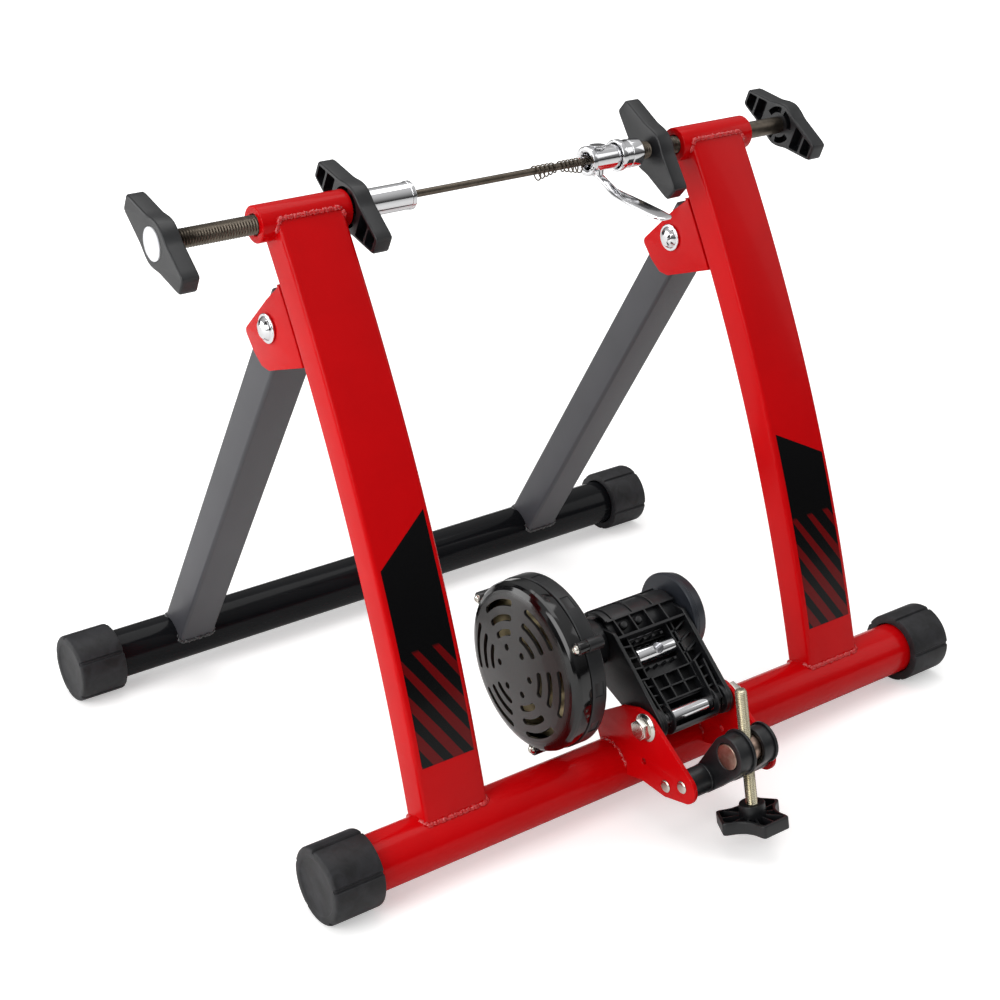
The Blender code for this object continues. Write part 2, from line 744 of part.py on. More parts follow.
def fold_bolt(word, left):
    """A domed bolt with a fixed washer, through both ears and the rear leg."""
    face = left - TOUCH
    far = left + BRACKET_WIDTH + 2 * TOUCH + FOLD_NUT + BOLT_END
    crown = face - FOLD_WASHER - FOLD_HEAD
    profile = [
        (crown, 0.0),
        (crown, 0.45 * FOLD_HEAD_RADIUS),
        (crown + 0.3 * FOLD_HEAD, 0.8 * FOLD_HEAD_RADIUS),
        (face - FOLD_WASHER, FOLD_HEAD_RADIUS),
        (face - FOLD_WASHER, FOLD_WASHER_RADIUS),
        (face, FOLD_WASHER_RADIUS),
        (face, FOLD_BOLT_RADIUS),
        (far, FOLD_BOLT_RADIUS),
        (far, 0.0),
    ]
    bolt = turned(f"{word}_fold_bolt", profile, SMALL_SIDES)
    bolt.location = (0, PIVOT_Y, PIVOT_HEIGHT)
    part(bolt, frame_line, CHROME)
    start = left + BRACKET_WIDTH + TOUCH
    nut = prism(
        f"{word}_fold_nut",
        [hexagon(FOLD_NUT_FLATS), circle((0, 0), FOLD_BOLT_RADIUS + TOUCH)],
        start,
        start + FOLD_NUT,
    )
    nut.location = (0, PIVOT_Y, PIVOT_HEIGHT)
    part(nut, frame_line, ZINC)


for word, left in zip(("left", "right"), BRACKET_X):
    pivot_bracket(f"{word}_pivot_bracket", left)
    fold_bolt(word, left)


# Rear frame, which folds about the two bolts

def rear_leg(name, left):
    """A straight rectangular tube. Its square head meets the bracket's web as a stop."""
    low = left + BRACKET_PLATE + SWIVEL
    high = low + REAR_LEG_WIDTH
    half = REAR_LEG_DEPTH / 2
    foot = -fold_vector.length
    leg = box(name, (low, -half, foot), (high, half, REAR_LEG_HEAD))
    part(leg, fold_line, GREY_PAINT)
    round_edges(leg, LEG_CORNER)
    wall = REAR_LEG_WALL
    foot_cut = cylinder(name + "_foot_cut", TUBE_RADIUS + TOUCH, low - wall, high + wall)
    foot_cut.location = REAR_PLACE
    combine(
        leg,
        "DIFFERENCE",
        box(name + "_hollow", (low + wall, wall - half, 2 * foot),
            (high - wall, half - wall, wall + REAR_LEG_HEAD)),
        foot_cut,
        cylinder(name + "_bolt_hole", FOLD_BOLT_RADIUS + TOUCH, low - wall, high + wall, SMALL_SIDES),
    )


base_tube("rear_base_tube", REAR_HALF_WIDTH, fold_line, REAR_PLACE, BLACK_PAINT)
end_cap("rear_left_end_cap", -1, REAR_HALF_WIDTH, fold_line, REAR_PLACE, REAR_LEFT_CAP_TURN, fold_lean)
end_cap("rear_right_end_cap", 1, REAR_HALF_WIDTH, fold_line, REAR_PLACE, REAR_RIGHT_CAP_TURN, fold_lean)
for word, left in zip(("left", "right"), BRACKET_X):
    rear_leg(f"rear_{word}_leg", left)


# Clamp screws, cups and wing knobs

def turned_point(along, across, turn):
    """A point along and across a line that is turned from the first axis."""
    return (along * math.cos(turn) - across * math.sin(turn),
            along * math.sin(turn) + across * math.cos(turn))


def wing_outline(turn):
    """A hub with two tapered wings, opposite each other."""
    root = math.asin(KNOB_ROOT / 2 / KNOB_HUB_RADIUS)
    tip = KNOB_TIP / 2
    corners = (
        (KNOB_REACH - KNOB_CHAMFER, -tip),
        (KNOB_REACH, KNOB_CHAMFER - tip),
        (KNOB_REACH, tip - KNOB_CHAMFER),
        (KNOB_REACH - KNOB_CHAMFER, tip),
    )
    points = []
    for start in (turn, turn + math.pi):
        points += [turned_point(*corner, start) for corner in corners]
        points += arc((0, 0), KNOB_HUB_RADIUS, start + root, start + math.pi - root, 5)
    return points


def knob_pockets(turn):
    """Moulding pockets: two in each wing, and four round the boss."""
    slope = (KNOB_ROOT - KNOB_TIP) / 2 / (KNOB_REACH - KNOB_HUB_RADIUS)
    first = KNOB_HUB_RADIUS
    last = KNOB_REACH - 1.3 * KNOB_WALL
    middle = (first + last) / 2
    spans = ((first, middle - KNOB_RIB / 2), (middle + KNOB_RIB / 2, last))
    outer = KNOB_HUB_RADIUS - KNOB_WALL
    inner = KNOB_BOSS_RADIUS
    outlines = []
    for start in (turn, turn + math.pi):
        for low, high in spans:
            wide = KNOB_ROOT / 2 - slope * (low - KNOB_HUB_RADIUS) - KNOB_WALL
            narrow = KNOB_ROOT / 2 - slope * (high - KNOB_HUB_RADIUS) - KNOB_WALL
            corners = ((low, -wide), (high, -narrow), (high, narrow), (low, wide))
            outlines.append([turned_point(*corner, start) for corner in corners])
        for low, high in ((0.25, 1.45), (1.69, 2.89)):
            outline = arc((0, 0), outer, start + low, start + high, 4)
            outline += arc((0, 0), inner, start + high, start + low, 4)
            outlines.append(outline)
    return outlines


def wing_knob(name, face, side, turn):
    """A moulded knob: a closed face, and pockets on the other side."""
    rim = face + side * KNOB_DEPTH
    knob = prism(name, [wing_outline(turn)], *sorted((face, rim)))
    part(knob, clamp_line, NYLON)
    round_edges(knob, KNOB_EDGE)
    pockets = prism(
        name + "_pockets",
        knob_pockets(turn),
        *sorted((face + side * KNOB_SKIN, rim + side * KNOB_SKIN)),
    )
    combine(knob, "DIFFERENCE", pockets)
    return knob


def hand_knob(word, face, side, turn, screw_end):
    """An outer knob, fixed on its screw, with a disc let into its face."""
    knob = wing_knob(f"{word}_hand_knob", face, side, turn)
    bore_end = face + side * (KNOB_DEPTH + KNOB_SKIN)
    seat = face + side * (DISC_THICKNESS - DISC_SINK + TOUCH)
    combine(
        knob,
        "DIFFERENCE",
        cylinder(f"{word}_knob_bore", SCREW_RADIUS + TOUCH,
                 *sorted((screw_end - side * TOUCH, bore_end))),
        cylinder(f"{word}_disc_seat", DISC_RADIUS + TOUCH,
                 *sorted((seat, face - side * KNOB_SKIN))),
    )
    ends = sorted((seat - side * TOUCH, seat - side * (TOUCH + DISC_THICKNESS)))
    part(cylinder(f"{word}_knob_disc", DISC_RADIUS, *ends), clamp_line, LABEL)


def clamp_screw(word, outer, cup_back):
    """A thick screw that ends against its cup's back."""
    side = -1 if word == "left" else 1
    ends = sorted((outer, cup_back + side * TOUCH))
    part(cylinder(f"{word}_clamp_screw", SCREW_RADIUS, *ends), clamp_line, DARK_STEEL)


def axle_cup(word, back, wall, mouth, radius, bore, flange, flange_width):
    """A plated cup with a flanged mouth, which grips one end of the axle."""
    side = 1 if mouth > back else -1
    step = mouth - side * flange_width
    floor = back + side * wall
    profile = [
        (back, 0.0),
        (back, radius),
        (step, radius),
        (step, flange),
        (mouth, flange),
        (mouth, bore),
        (floor, bore),
        (floor, 0.0),
    ]
    part(turned(f"{word}_axle_cup", profile), clamp_line, CHROME)


def lock_knob(word, face, side, turn, boss=0.0):
    """An inner knob that jams its screw, with a through bore and maybe a boss."""
    knob = wing_knob(f"{word}_lock_knob", face, side, turn)
    rim = face + side * KNOB_DEPTH
    if boss:
        ends = sorted((rim - side * KNOB_SKIN, rim + side * boss))
        combine(knob, "UNION", cylinder(f"{word}_lock_boss", KNOB_BOSS_RADIUS - TOUCH, *ends))
    ends = sorted((face - side * KNOB_SKIN, rim + side * (boss + KNOB_SKIN)))
    combine(knob, "DIFFERENCE", cylinder(f"{word}_lock_bore", SCREW_RADIUS + TOUCH, *ends))


hand_knob("left", LEFT_KNOB_FACE, 1, LEFT_KNOB_TURN, LEFT_SCREW_OUT)
hand_knob("right", RIGHT_KNOB_FACE, -1, RIGHT_KNOB_TURN, RIGHT_SCREW_OUT)
lock_knob("left", LEFT_LOCK_FACE, -1, LEFT_LOCK_TURN)
lock_knob("right", RIGHT_LOCK_FACE, 1, RIGHT_LOCK_TURN, RIGHT_LOCK_BOSS)
clamp_screw("left", LEFT_SCREW_OUT, LEFT_CUP_BACK)
clamp_screw("right", RIGHT_SCREW_OUT, RIGHT_CUP_BACK)
axle_cup("left", LEFT_CUP_BACK, LEFT_CUP_WALL, LEFT_CUP_MOUTH, LEFT_CUP_RADIUS,
         LEFT_CUP_BORE, LEFT_CUP_FLANGE, LEFT_CUP_FLANGE_WIDTH)
axle_cup("right", RIGHT_CUP_BACK, RIGHT_CUP_WALL, RIGHT_CUP_MOUTH, RIGHT_CUP_RADIUS,
         RIGHT_CUP_BORE, RIGHT_CUP_FLANGE, RIGHT_CUP_FLANGE_WIDTH)


# Quick-release skewer

ROD_LEFT = SKEWER_NUT_END + TOUCH
ROD_RIGHT = CAM_X - CAM_RADIUS - TOUCH
part(cylinder("skewer_rod", ROD_RADIUS, ROD_LEFT, ROD_RIGHT, SMALL_SIDES), clamp_line, DARK_STEEL)
part(
    cylinder("skewer_nut", SKEWER_NUT_RADIUS, SKEWER_NUT_END, SKEWER_NUT_END + SKEWER_NUT_LENGTH,
             bore=ROD_RADIUS + TOUCH),
    clamp_line,
    CHROME,
)


def skewer_housing():
    """The turned body that holds the cam, open at its mouth where the rod enters."""
    step = HOUSING_MOUTH + HOUSING_FLANGE_WIDTH
    profile = [
        (HOUSING_END, 0.0),
        (HOUSING_END, HOUSING_RADIUS),
        (step, HOUSING_RADIUS),
        (step, HOUSING_FLANGE),
        (HOUSING_MOUTH, HOUSING_FLANGE),
        (HOUSING_MOUTH, HOUSING_BORE),
        (HOUSING_BORE_END, HOUSING_BORE),
        (HOUSING_BORE_END, 0.0),
    ]
    housing = part(turned("skewer_housing", profile), clamp_line, CHROME)
    hole = cylinder("cam_hole", CAM_RADIUS + TOUCH, -2 * HOUSING_RADIUS, 2 * HOUSING_RADIUS,
                    SMALL_SIDES, "Z")
    hole.location = (CAM_X, 0, 0)
    combine(housing, "DIFFERENCE", hole)


def skewer_lever():
    """The cam pin, with its head above the housing, and the bent lever below it."""
    top = HOUSING_RADIUS + SWIVEL
    root = -HOUSING_RADIUS - CAM_PLAY
    foot = root + NECK_OUTLINE[-1][1] / 2
    profile = [
        (top + CAM_HEAD, 0.0),
        (top + CAM_HEAD, CAM_HEAD_RADIUS),
        (top, CAM_HEAD_RADIUS),
        (top, CAM_RADIUS),
        (foot, CAM_RADIUS),
        (foot, 0.0),
    ]
    lever = part(turned("skewer_lever", profile, SMALL_SIDES, "Z"), lever_line, CHROME)
    neck = prism("lever_neck", [shifted(NECK_OUTLINE, (0, root))], -NECK_WIDTH / 2, NECK_WIDTH / 2)
    blade = prism("lever_blade", [shifted(BLADE_OUTLINE, (0, root))], -BLADE_WIDTH / 2, BLADE_WIDTH / 2)
    combine(lever, "UNION", neck, blade)


def cone_spring(name, start, length, wide_at_start):
    """A cone spring that hangs on the rod: the top of each turn rests on it."""
    narrow = ROD_RADIUS + TOUCH + WIRE_RADIUS
    count = SPRING_TURNS * POINTS_PER_TURN
    points = []
    for step in range(count + 1):
        share = step / count
        width = 1 - share if wide_at_start else share
        radius = narrow + (SPRING_WIDE - narrow) * width
        angle = FULL_TURN * step / POINTS_PER_TURN
        drop = radius - narrow
        points.append(Vector((
            start + length * share,
            radius * math.cos(angle),
            radius * math.sin(angle) - drop,
        )))
    gaps = [
        (first - second).length - 2 * WIRE_RADIUS
        for index, first in enumerate(points)
        for second in points[index + POINTS_PER_TURN // 2:]
    ]
    print(f"{name}: least gap between its turns {1000 * min(gaps):.2f} mm")
    curve = bpy.data.curves.new(name, "CURVE")
    curve.dimensions = "3D"
    curve.bevel_depth = WIRE_RADIUS
    curve.bevel_resolution = 1
    curve.use_fill_caps = True
    spline = curve.splines.new("POLY")
    spline.points.add(count)
    for point, place in zip(spline.points, points):
        point.co = (*place, 1)
    part(bpy.data.objects.new(name, curve), clamp_line, DARK_STEEL)


skewer_housing()
skewer_lever()
cone_spring("skewer_spring_left", LEFT_SPRING_X, LEFT_SPRING_LENGTH, True)
cone_spring("skewer_spring_right", RIGHT_SPRING_X, RIGHT_SPRING_LENGTH, False)


# Side plates and pins of the resistance unit

HALF_INNER = UNIT_INNER / 2
PLATE_OUTER = HALF_INNER + UNIT_PLATE


def unit_plate(name, side):
    """A steel side plate, cut to sit over the front tube."""
    holes = [
        circle((PLATE_HOLE_Y, PLATE_HOLE_HEIGHT), PLATE_HOLE_RADIUS, HOLE_SIDES),
        circle((STAY_Y, STAY_HEIGHT), RIVET_NECK + TOUCH, HOLE_SIDES),
        circle((LINK_Y, LINK_HEIGHT), RIVET_NECK + TOUCH, HOLE_SIDES),
        circle((ARM_PIVOT_Y, ARM_PIVOT_HEIGHT), ARM_BOLT_RADIUS + TOUCH),
    ]
    ends = sorted((UNIT_X + side * HALF_INNER, UNIT_X + side * PLATE_OUTER))
    plate = part(prism(name, [list(PLATE_OUTLINE), *holes], *ends), frame_line, RED_PAINT)
    saddle = cylinder(name + "_saddle", TUBE_RADIUS + TOUCH, ends[0] - UNIT_PLATE, ends[1] + UNIT_PLATE)
    saddle.location = (0, 0, TUBE_HEIGHT)
    combine(plate, "DIFFERENCE", saddle)


def riveted_pin(name, radius, place):
    """A shouldered pin between the plates, with its necks riveted over outside."""
    shoulder = HALF_INNER - TOUCH
    outside = PLATE_OUTER + TOUCH
    half = [
        (shoulder, radius),
        (shoulder, RIVET_NECK),
        (outside, RIVET_NECK),
        (outside, RIVET_HEAD_RADIUS),
        (outside + 0.5 * RIVET_HEAD, RIVET_HEAD_RADIUS),
        (outside + RIVET_HEAD, 0.6 * RIVET_HEAD_RADIUS),
        (outside + RIVET_HEAD, 0.0),
    ]
    profile = [(-along, across) for along, across in reversed(half)] + half
    pin = turned(name, profile, HOLE_SIDES)
    pin.location = (UNIT_X, *place)
    part(pin, frame_line, ZINC)


def arm_bolt():
    """The arm's flanged hex bolt, its nut, and the chrome spacer tube that it clamps."""
    face = -PLATE_OUTER - TOUCH
    far = PLATE_OUTER + 2 * TOUCH + ARM_NUT + BOLT_END
    profile = [
        (face - ARM_FLANGE, 0.0),
        (face - ARM_FLANGE, 0.9 * ARM_FLANGE_RADIUS),
        (face, ARM_FLANGE_RADIUS),
        (face, ARM_BOLT_RADIUS),
        (far, ARM_BOLT_RADIUS),
        (far, 0.0),
    ]
    place = (UNIT_X, ARM_PIVOT_Y, ARM_PIVOT_HEIGHT)
    bolt = turned("arm_pivot_bolt", profile)
    bolt.location = place
    part(bolt, frame_line, ZINC)
    head = prism("arm_bolt_head", [hexagon(ARM_HEX_FLATS)],
                 face - ARM_FLANGE - ARM_HEX, face - ARM_FLANGE / 2)
    head.location = place
    combine(bolt, "UNION", head)
    hole = circle((0, 0), ARM_BOLT_RADIUS + TOUCH)
    start = PLATE_OUTER + TOUCH
    nut = prism("arm_pivot_nut", [hexagon(ARM_HEX_FLATS), hole], start, start + ARM_NUT)
    nut.location = place
    part(nut, frame_line, ZINC)
    end = HALF_INNER - TOUCH
    spacer = cylinder("arm_spacer_tube", SPACER_RADIUS, -end, end, bore=ARM_BOLT_RADIUS + TOUCH)
    spacer.location = place
    part(spacer, frame_line, CHROME)


unit_plate("left_unit_plate", -1)
unit_plate("right_unit_plate", 1)
riveted_pin("unit_stay_pin", STAY_RADIUS, (STAY_Y, STAY_HEIGHT))
riveted_pin("link_pivot_pin", LINK_PIN_RADIUS, (LINK_Y, LINK_HEIGHT))
arm_bolt()


# Swinging arm

ARM_HALF = ARM_WIDTH / 2
ROTOR_LEFT = DRUM_JOINT - ROTOR_AHEAD
SLAB_HALF = ARM_HALF - ARM_CHEEK
ARM_FACE = -ARM_HUB_RADIUS
HOLD = ARM_CHEEK / 2


def arm_cheek_outline():
    """One side wall: round at the pivot, straight in front, and round at the roller."""
    top_front = (ARM_FACE, ARM_FACE_TOP)
    around = [
        (ROLLER_Y + 0.0033, ROLLER_Z + 0.0200),
        (ROLLER_Y + 0.0150, ROLLER_Z + 0.0120),
        (ROLLER_Y + 0.0175, ROLLER_Z - 0.0080),
    ]
    corner = rounded([(ARM_FACE, 0.0), top_front, around[0]], ARM_CORNER)[4:8]
    hub = arc((0, 0), ARM_HUB_RADIUS, math.pi, FULL_TURN - 0.4, 10)
    return hub + list(ARM_REAR) + around[::-1] + corner[::-1]


def arm_pockets():
    """The grid of pockets in the arm's front, as boxes."""
    front = ARM_FACE - ARM_FLOOR
    back = ARM_FACE + ARM_SLAB_DEPTH - ARM_FLOOR
    nut_half = NUT_LENGTH / 2 + TOUCH
    side_low = nut_half + SADDLE_WALL
    rows = [ARM_SLAB_FOOT + ARM_RIB, 0.0195, 0.0285, NUT_Z - 0.0085 - ARM_RIB]
    pairs = []

    def row(low, high, left, right, count):
        """A row of equal pockets with ribs between them."""
        pitch = (right - left + ARM_RIB) / count
        for step in range(count):
            start = left + step * pitch
            pairs.append(((start, front, low), (start + pitch - ARM_RIB, back, high)))

    for low, high in zip(rows, rows[1:]):
        row(low + ARM_RIB / 2, high - ARM_RIB / 2, -side_low + ARM_RIB, side_low - ARM_RIB, 4)
    top = ARM_FACE_TOP - 1.6 * ARM_RIB
    bands = [*rows, NUT_Z + 0.0025, top]
    for low, high in zip(bands, bands[1:]):
        for left in (-SLAB_HALF + ARM_RIB / 2, side_low + ARM_RIB):
            right = left + SLAB_HALF - side_low - 1.5 * ARM_RIB
            pairs.append(((left, front, low + ARM_RIB / 2), (right, back, high - ARM_RIB / 2)))
    return pairs


def swing_arm():
    """The moulded arm: two cheeks, a ribbed front, a saddle for the barrel nut and a
    hood over the roller, with seats for the roller's bearings."""
    arm = prism("swing_arm", [arm_cheek_outline()], SLAB_HALF, ARM_HALF)
    part(arm, arm_line, NYLON)
    roller = (ROLLER_Y, ROLLER_Z)
    hood = arc(roller, HOOD_OUTER, HOOD_START, HOOD_END, HOOD_STEPS)
    hood += arc(roller, HOOD_INNER, HOOD_END, HOOD_START, HOOD_STEPS)
    slab_back = ARM_FACE + ARM_SLAB_DEPTH
    saddle_half = NUT_LENGTH / 2 + TOUCH + SADDLE_WALL
    boss_radius = BEARING_RADIUS + BEARING_WALL
    boss_inner = ARM_HALF - BEARING_WIDTH - HOLD / 2
    slab_low = (-SLAB_HALF - HOLD, ARM_FACE + ARM_SETBACK, ARM_SLAB_FOOT)
    slab_high = (SLAB_HALF + HOLD, slab_back, ARM_FACE_TOP - ARM_SETBACK)
    saddle_low = (-saddle_half, slab_back - HOLD, NUT_Z - 0.0095)
    saddle_high = (saddle_half, SADDLE_BACK, NUT_Z + 0.0090)
    joined = [
        prism("arm_left_cheek", [arm_cheek_outline()], -ARM_HALF, -SLAB_HALF),
        cylinder("arm_hub", ARM_HUB_RADIUS - ARM_SETBACK, -SLAB_HALF - HOLD, SLAB_HALF + HOLD),
        box("arm_slab", slab_low, slab_high),
        box("arm_saddle", saddle_low, saddle_high),
        prism("arm_hood", [hood], -SLAB_HALF - HOLD, SLAB_HALF + HOLD),
    ]
    for word, side in (("left", -1), ("right", 1)):
        ends = sorted((side * boss_inner, side * (ARM_HALF - ARM_SETBACK)))
        boss = cylinder(f"{word}_bearing_boss", boss_radius, *ends)
        boss.location = (0, *roller)
        joined.append(boss)
    combine(arm, "UNION", *joined)

    nut_half = NUT_LENGTH / 2 + TOUCH
    front = ARM_FACE - ARM_FLOOR
    seat_radius = NUT_RADIUS + TOUCH
    seat = arc((NUT_Y, NUT_Z), seat_radius, -math.pi / 2, math.pi / 2, HOLE_SIDES)
    seat += [(front, NUT_Z + seat_radius), (front, NUT_Z - seat_radius)]
    space = boss_inner - HOLD / 2
    roller_cut = turned("roller_space", [
        (ARM_WIDTH, 0.0),
        (ARM_WIDTH, BEARING_RADIUS + TOUCH),
        (space, BEARING_RADIUS + TOUCH),
        (space, ROLLER_RADIUS + ROLLER_PLAY),
        (-space, ROLLER_RADIUS + ROLLER_PLAY),
        (-space, BEARING_RADIUS + TOUCH),
        (-ARM_WIDTH, BEARING_RADIUS + TOUCH),
        (-ARM_WIDTH, 0.0),
    ], BIG_SIDES)
    roller_cut.location = (0, *roller)
    bolt_way = cylinder("bolt_way", NUT_HOLE + TOUCH, 0, 2 * SADDLE_BACK, SMALL_SIDES, "Z")
    bolt_way.rotation_euler = (-math.pi / 2, 0, 0)
    bolt_way.location = (0, NUT_Y, NUT_Z)
    panel = []
    pitch = (2 * SLAB_HALF - HOOD_RIB) / HOOD_PANELS
    floor = HOOD_OUTER - HOOD_PANEL_DEPTH
    for step in range(HOOD_PANELS):
        low = -SLAB_HALF + HOOD_RIB + step * pitch
        outline = arc(roller, HOOD_OUTER + HOLD, PANEL_START, PANEL_END, HOOD_STEPS - 2)
        outline += arc(roller, floor, PANEL_END, PANEL_START, HOOD_STEPS - 2)
        panel.append(prism(f"hood_panel_{step}", [outline], low, low + pitch - HOOD_RIB))
    combine(
        arm,
        "DIFFERENCE",
        cylinder("arm_bore", SPACER_RADIUS + TOUCH, -ARM_WIDTH, ARM_WIDTH),
        box("spacer_window", (-WINDOW_HALF, front, WINDOW_FOOT),
            (WINDOW_HALF, 0, ARM_SLAB_FOOT + ARM_RIB / 4)),
        boxes("arm_pockets", arm_pockets()),
        prism("nut_seat", [seat], -nut_half, nut_half),
        bolt_way,
        roller_cut,
        *panel,
    )


def barrel_nut():
    """A short bar across the arm, flat in front, with a threaded hole for the bolt."""
    half = NUT_LENGTH / 2
    nut = part(cylinder("barrel_nut", NUT_RADIUS, -half, half), nut_line, CHROME)
    hole = cylinder("barrel_nut_hole", NUT_HOLE, -2 * NUT_RADIUS, 2 * NUT_RADIUS, SMALL_SIDES, "Z")
    hole.rotation_euler = (math.pi / 2, 0, 0)
    flat = box("barrel_nut_flat", (-NUT_LENGTH, -2 * NUT_RADIUS, -2 * NUT_RADIUS),
               (NUT_LENGTH, -NUT_FLAT, 2 * NUT_RADIUS))
    combine(nut, "DIFFERENCE", flat, hole)


def roller_group():
    """Roller, shaft, bearings and flywheel, all on the roller's line."""
    half = ARM_HALF - BEARING_WIDTH - ROLLER_END_PLAY
    shaft_bore = SHAFT_RADIUS + TOUCH
    part(cylinder("roller", ROLLER_RADIUS, -half, half, BIG_SIDES, bore=shaft_bore),
         roller_line, ALUMINIUM)
    part(cylinder("roller_shaft", SHAFT_RADIUS, ROTOR_LEFT - TOUCH, FLYWHEEL_RIGHT + SHAFT_END, SMALL_SIDES),
         roller_line, ZINC)
    for word, side in (("left", -1), ("right", 1)):
        ends = sorted((side * (ARM_HALF - BEARING_WIDTH), side * ARM_HALF))
        part(cylinder(f"{word}_roller_bearing", BEARING_RADIUS, *ends, bore=shaft_bore),
             roller_line, ZINC)
    recess = FLYWHEEL_RIGHT - FLYWHEEL_RECESS
    profile = [
        (FLYWHEEL_LEFT, shaft_bore),
        (FLYWHEEL_LEFT, FLYWHEEL_RADIUS - FLYWHEEL_EDGE),
        (FLYWHEEL_LEFT + FLYWHEEL_EDGE, FLYWHEEL_RADIUS),
        (FLYWHEEL_RIGHT - FLYWHEEL_EDGE, FLYWHEEL_OUTER_RADIUS),
        (FLYWHEEL_RIGHT, FLYWHEEL_OUTER_RADIUS - FLYWHEEL_EDGE),
        (FLYWHEEL_RIGHT, FLYWHEEL_RIM_INSIDE),
        (recess, FLYWHEEL_RIM_INSIDE),
        (recess, FLYWHEEL_HUB_RADIUS),
        (FLYWHEEL_RIGHT, FLYWHEEL_HUB_RADIUS),
        (FLYWHEEL_RIGHT, shaft_bore),
    ]
    part(turned("flywheel", profile, BIG_SIDES), roller_line, GREY_PAINT)


swing_arm()
barrel_nut()
roller_group()


# Magnet drum

def vent_outlines():
    """Three rings of curved slots and one of short ovals, in six sectors."""
    outlines = []
    for sector in range(VENT_SECTORS):
        middle = VENT_TURN + FULL_TURN * sector / VENT_SECTORS
        for radius, span in zip(VENT_RADII, VENT_SPANS):
            low = middle - span / 2
            high = middle + span / 2
            half = VENT_WIDTH / 2
            outline = arc((0, 0), radius + half, low, high, 3)
            outline += arc((0, 0), radius - half, high, low, 3)
            outlines.append(outline)
        away = middle + math.pi / VENT_SECTORS
        centre = (VENT_OVAL_CIRCLE * math.cos(away), VENT_OVAL_CIRCLE * math.sin(away))
        outlines.append(circle(centre, VENT_OVAL / 2, 8))
    return outlines


def ear_places():
    return [(EAR_CIRCLE * math.cos(angle), EAR_CIRCLE * math.sin(angle)) for angle in EAR_ANGLES]


def drum_cover():
    """The vented front shell, with three screw ears on its rim."""
    profile = [(DRUM_FACE + along, radius) for along, radius in DRUM_DOME] + [
        (DRUM_FACE, DRUM_RADIUS - DRUM_EDGE),
        (DRUM_FACE + 0.3 * DRUM_EDGE, DRUM_RADIUS - 0.3 * DRUM_EDGE),
        (DRUM_FACE + DRUM_EDGE, DRUM_RADIUS),
        (DRUM_JOINT, DRUM_RADIUS),
        (DRUM_JOINT, DRUM_RADIUS - DRUM_WALL),
        (DRUM_FACE + DRUM_WALL, DRUM_RADIUS - DRUM_WALL),
        (DRUM_FACE + DRUM_DOME[0][0] + DRUM_WALL, 0.0),
    ]
    cover = part(turned("drum_cover", profile, BIG_SIDES), roller_line, GLOSS_PLASTIC)
    ears = []
    holes = []
    for index, place in enumerate(ear_places()):
        ear = cylinder(f"cover_ear_{index}", EAR_RADIUS, DRUM_JOINT - EAR_DEPTH, DRUM_JOINT, HOLE_SIDES)
        hole = cylinder(f"cover_ear_hole_{index}", EAR_SCREW_RADIUS + TOUCH,
                        DRUM_JOINT - 2 * EAR_DEPTH, DRUM_JOINT + EAR_DEPTH, HOLE_SIDES)
        ear.location = (0, *place)
        hole.location = (0, *place)
        ears.append(ear)
        holes.append(hole)
    vents = prism("vents", vent_outlines(), DRUM_FACE - 5 * DRUM_WALL, DRUM_FACE + 2 * DRUM_WALL)
    combine(cover, "UNION", *ears)
    combine(cover, "DIFFERENCE", vents, *holes)


def drum_housing():
    """The rear shell, which a neck carries on the arm's left cheek."""
    rim = DRUM_JOINT + TOUCH
    inner_face = DRUM_BACK - DRUM_WALL
    neck_end = -ARM_HALF - TOUCH
    profile = [
        (rim, DRUM_BACK_RADIUS),
        (DRUM_BACK - DRUM_WALL / 2, DRUM_BACK_RADIUS),
        (DRUM_BACK, DRUM_BACK_RADIUS - DRUM_WALL / 2),
        (DRUM_BACK, NECK_RADIUS + NECK_CONE),
        (DRUM_BACK + NECK_CONE, NECK_RADIUS),
        (neck_end, NECK_RADIUS),
        (neck_end, NECK_BORE),
        (inner_face, NECK_BORE),
        (inner_face, DRUM_BACK_RADIUS - DRUM_WALL),
        (rim, DRUM_BACK_RADIUS - DRUM_WALL),
    ]
    housing = part(turned("drum_housing", profile, BIG_SIDES), roller_line, NYLON)
    bosses = []
    holes = []
    for index, place in enumerate(ear_places()):
        boss = cylinder(f"housing_boss_{index}", EAR_RADIUS, rim, DRUM_BACK, HOLE_SIDES)
        hole = cylinder(f"housing_boss_hole_{index}", EAR_SCREW_RADIUS + TOUCH,
                        rim - DRUM_WALL, DRUM_JOINT - EAR_DEPTH + EAR_SCREW_LENGTH + TOUCH, HOLE_SIDES)
        boss.location = (0, *place)
        hole.location = (0, *place)
        bosses.append(boss)
        holes.append(hole)
    combine(housing, "UNION", *bosses)
    combine(housing, "DIFFERENCE", *holes)


def drum_screws():
    """Three screws through the cover's ears into the housing's bosses."""
    seat = DRUM_JOINT - EAR_DEPTH - TOUCH
    head = seat - EAR_SCREW_HEAD * 0.7
    profile = [
        (head, 0.0),
        (head, EAR_SCREW_HEAD * 0.8),
        (seat, EAR_SCREW_HEAD),
        (seat, EAR_SCREW_RADIUS),
        (seat + EAR_SCREW_LENGTH, EAR_SCREW_RADIUS),
        (seat + EAR_SCREW_LENGTH, 0.0),
    ]
    for index, place in enumerate(ear_places()):
        screw = turned(f"drum_screw_{index + 1}", profile, HOLE_SIDES)
        screw.location = (0, *place)
        part(screw, roller_line, ZINC)


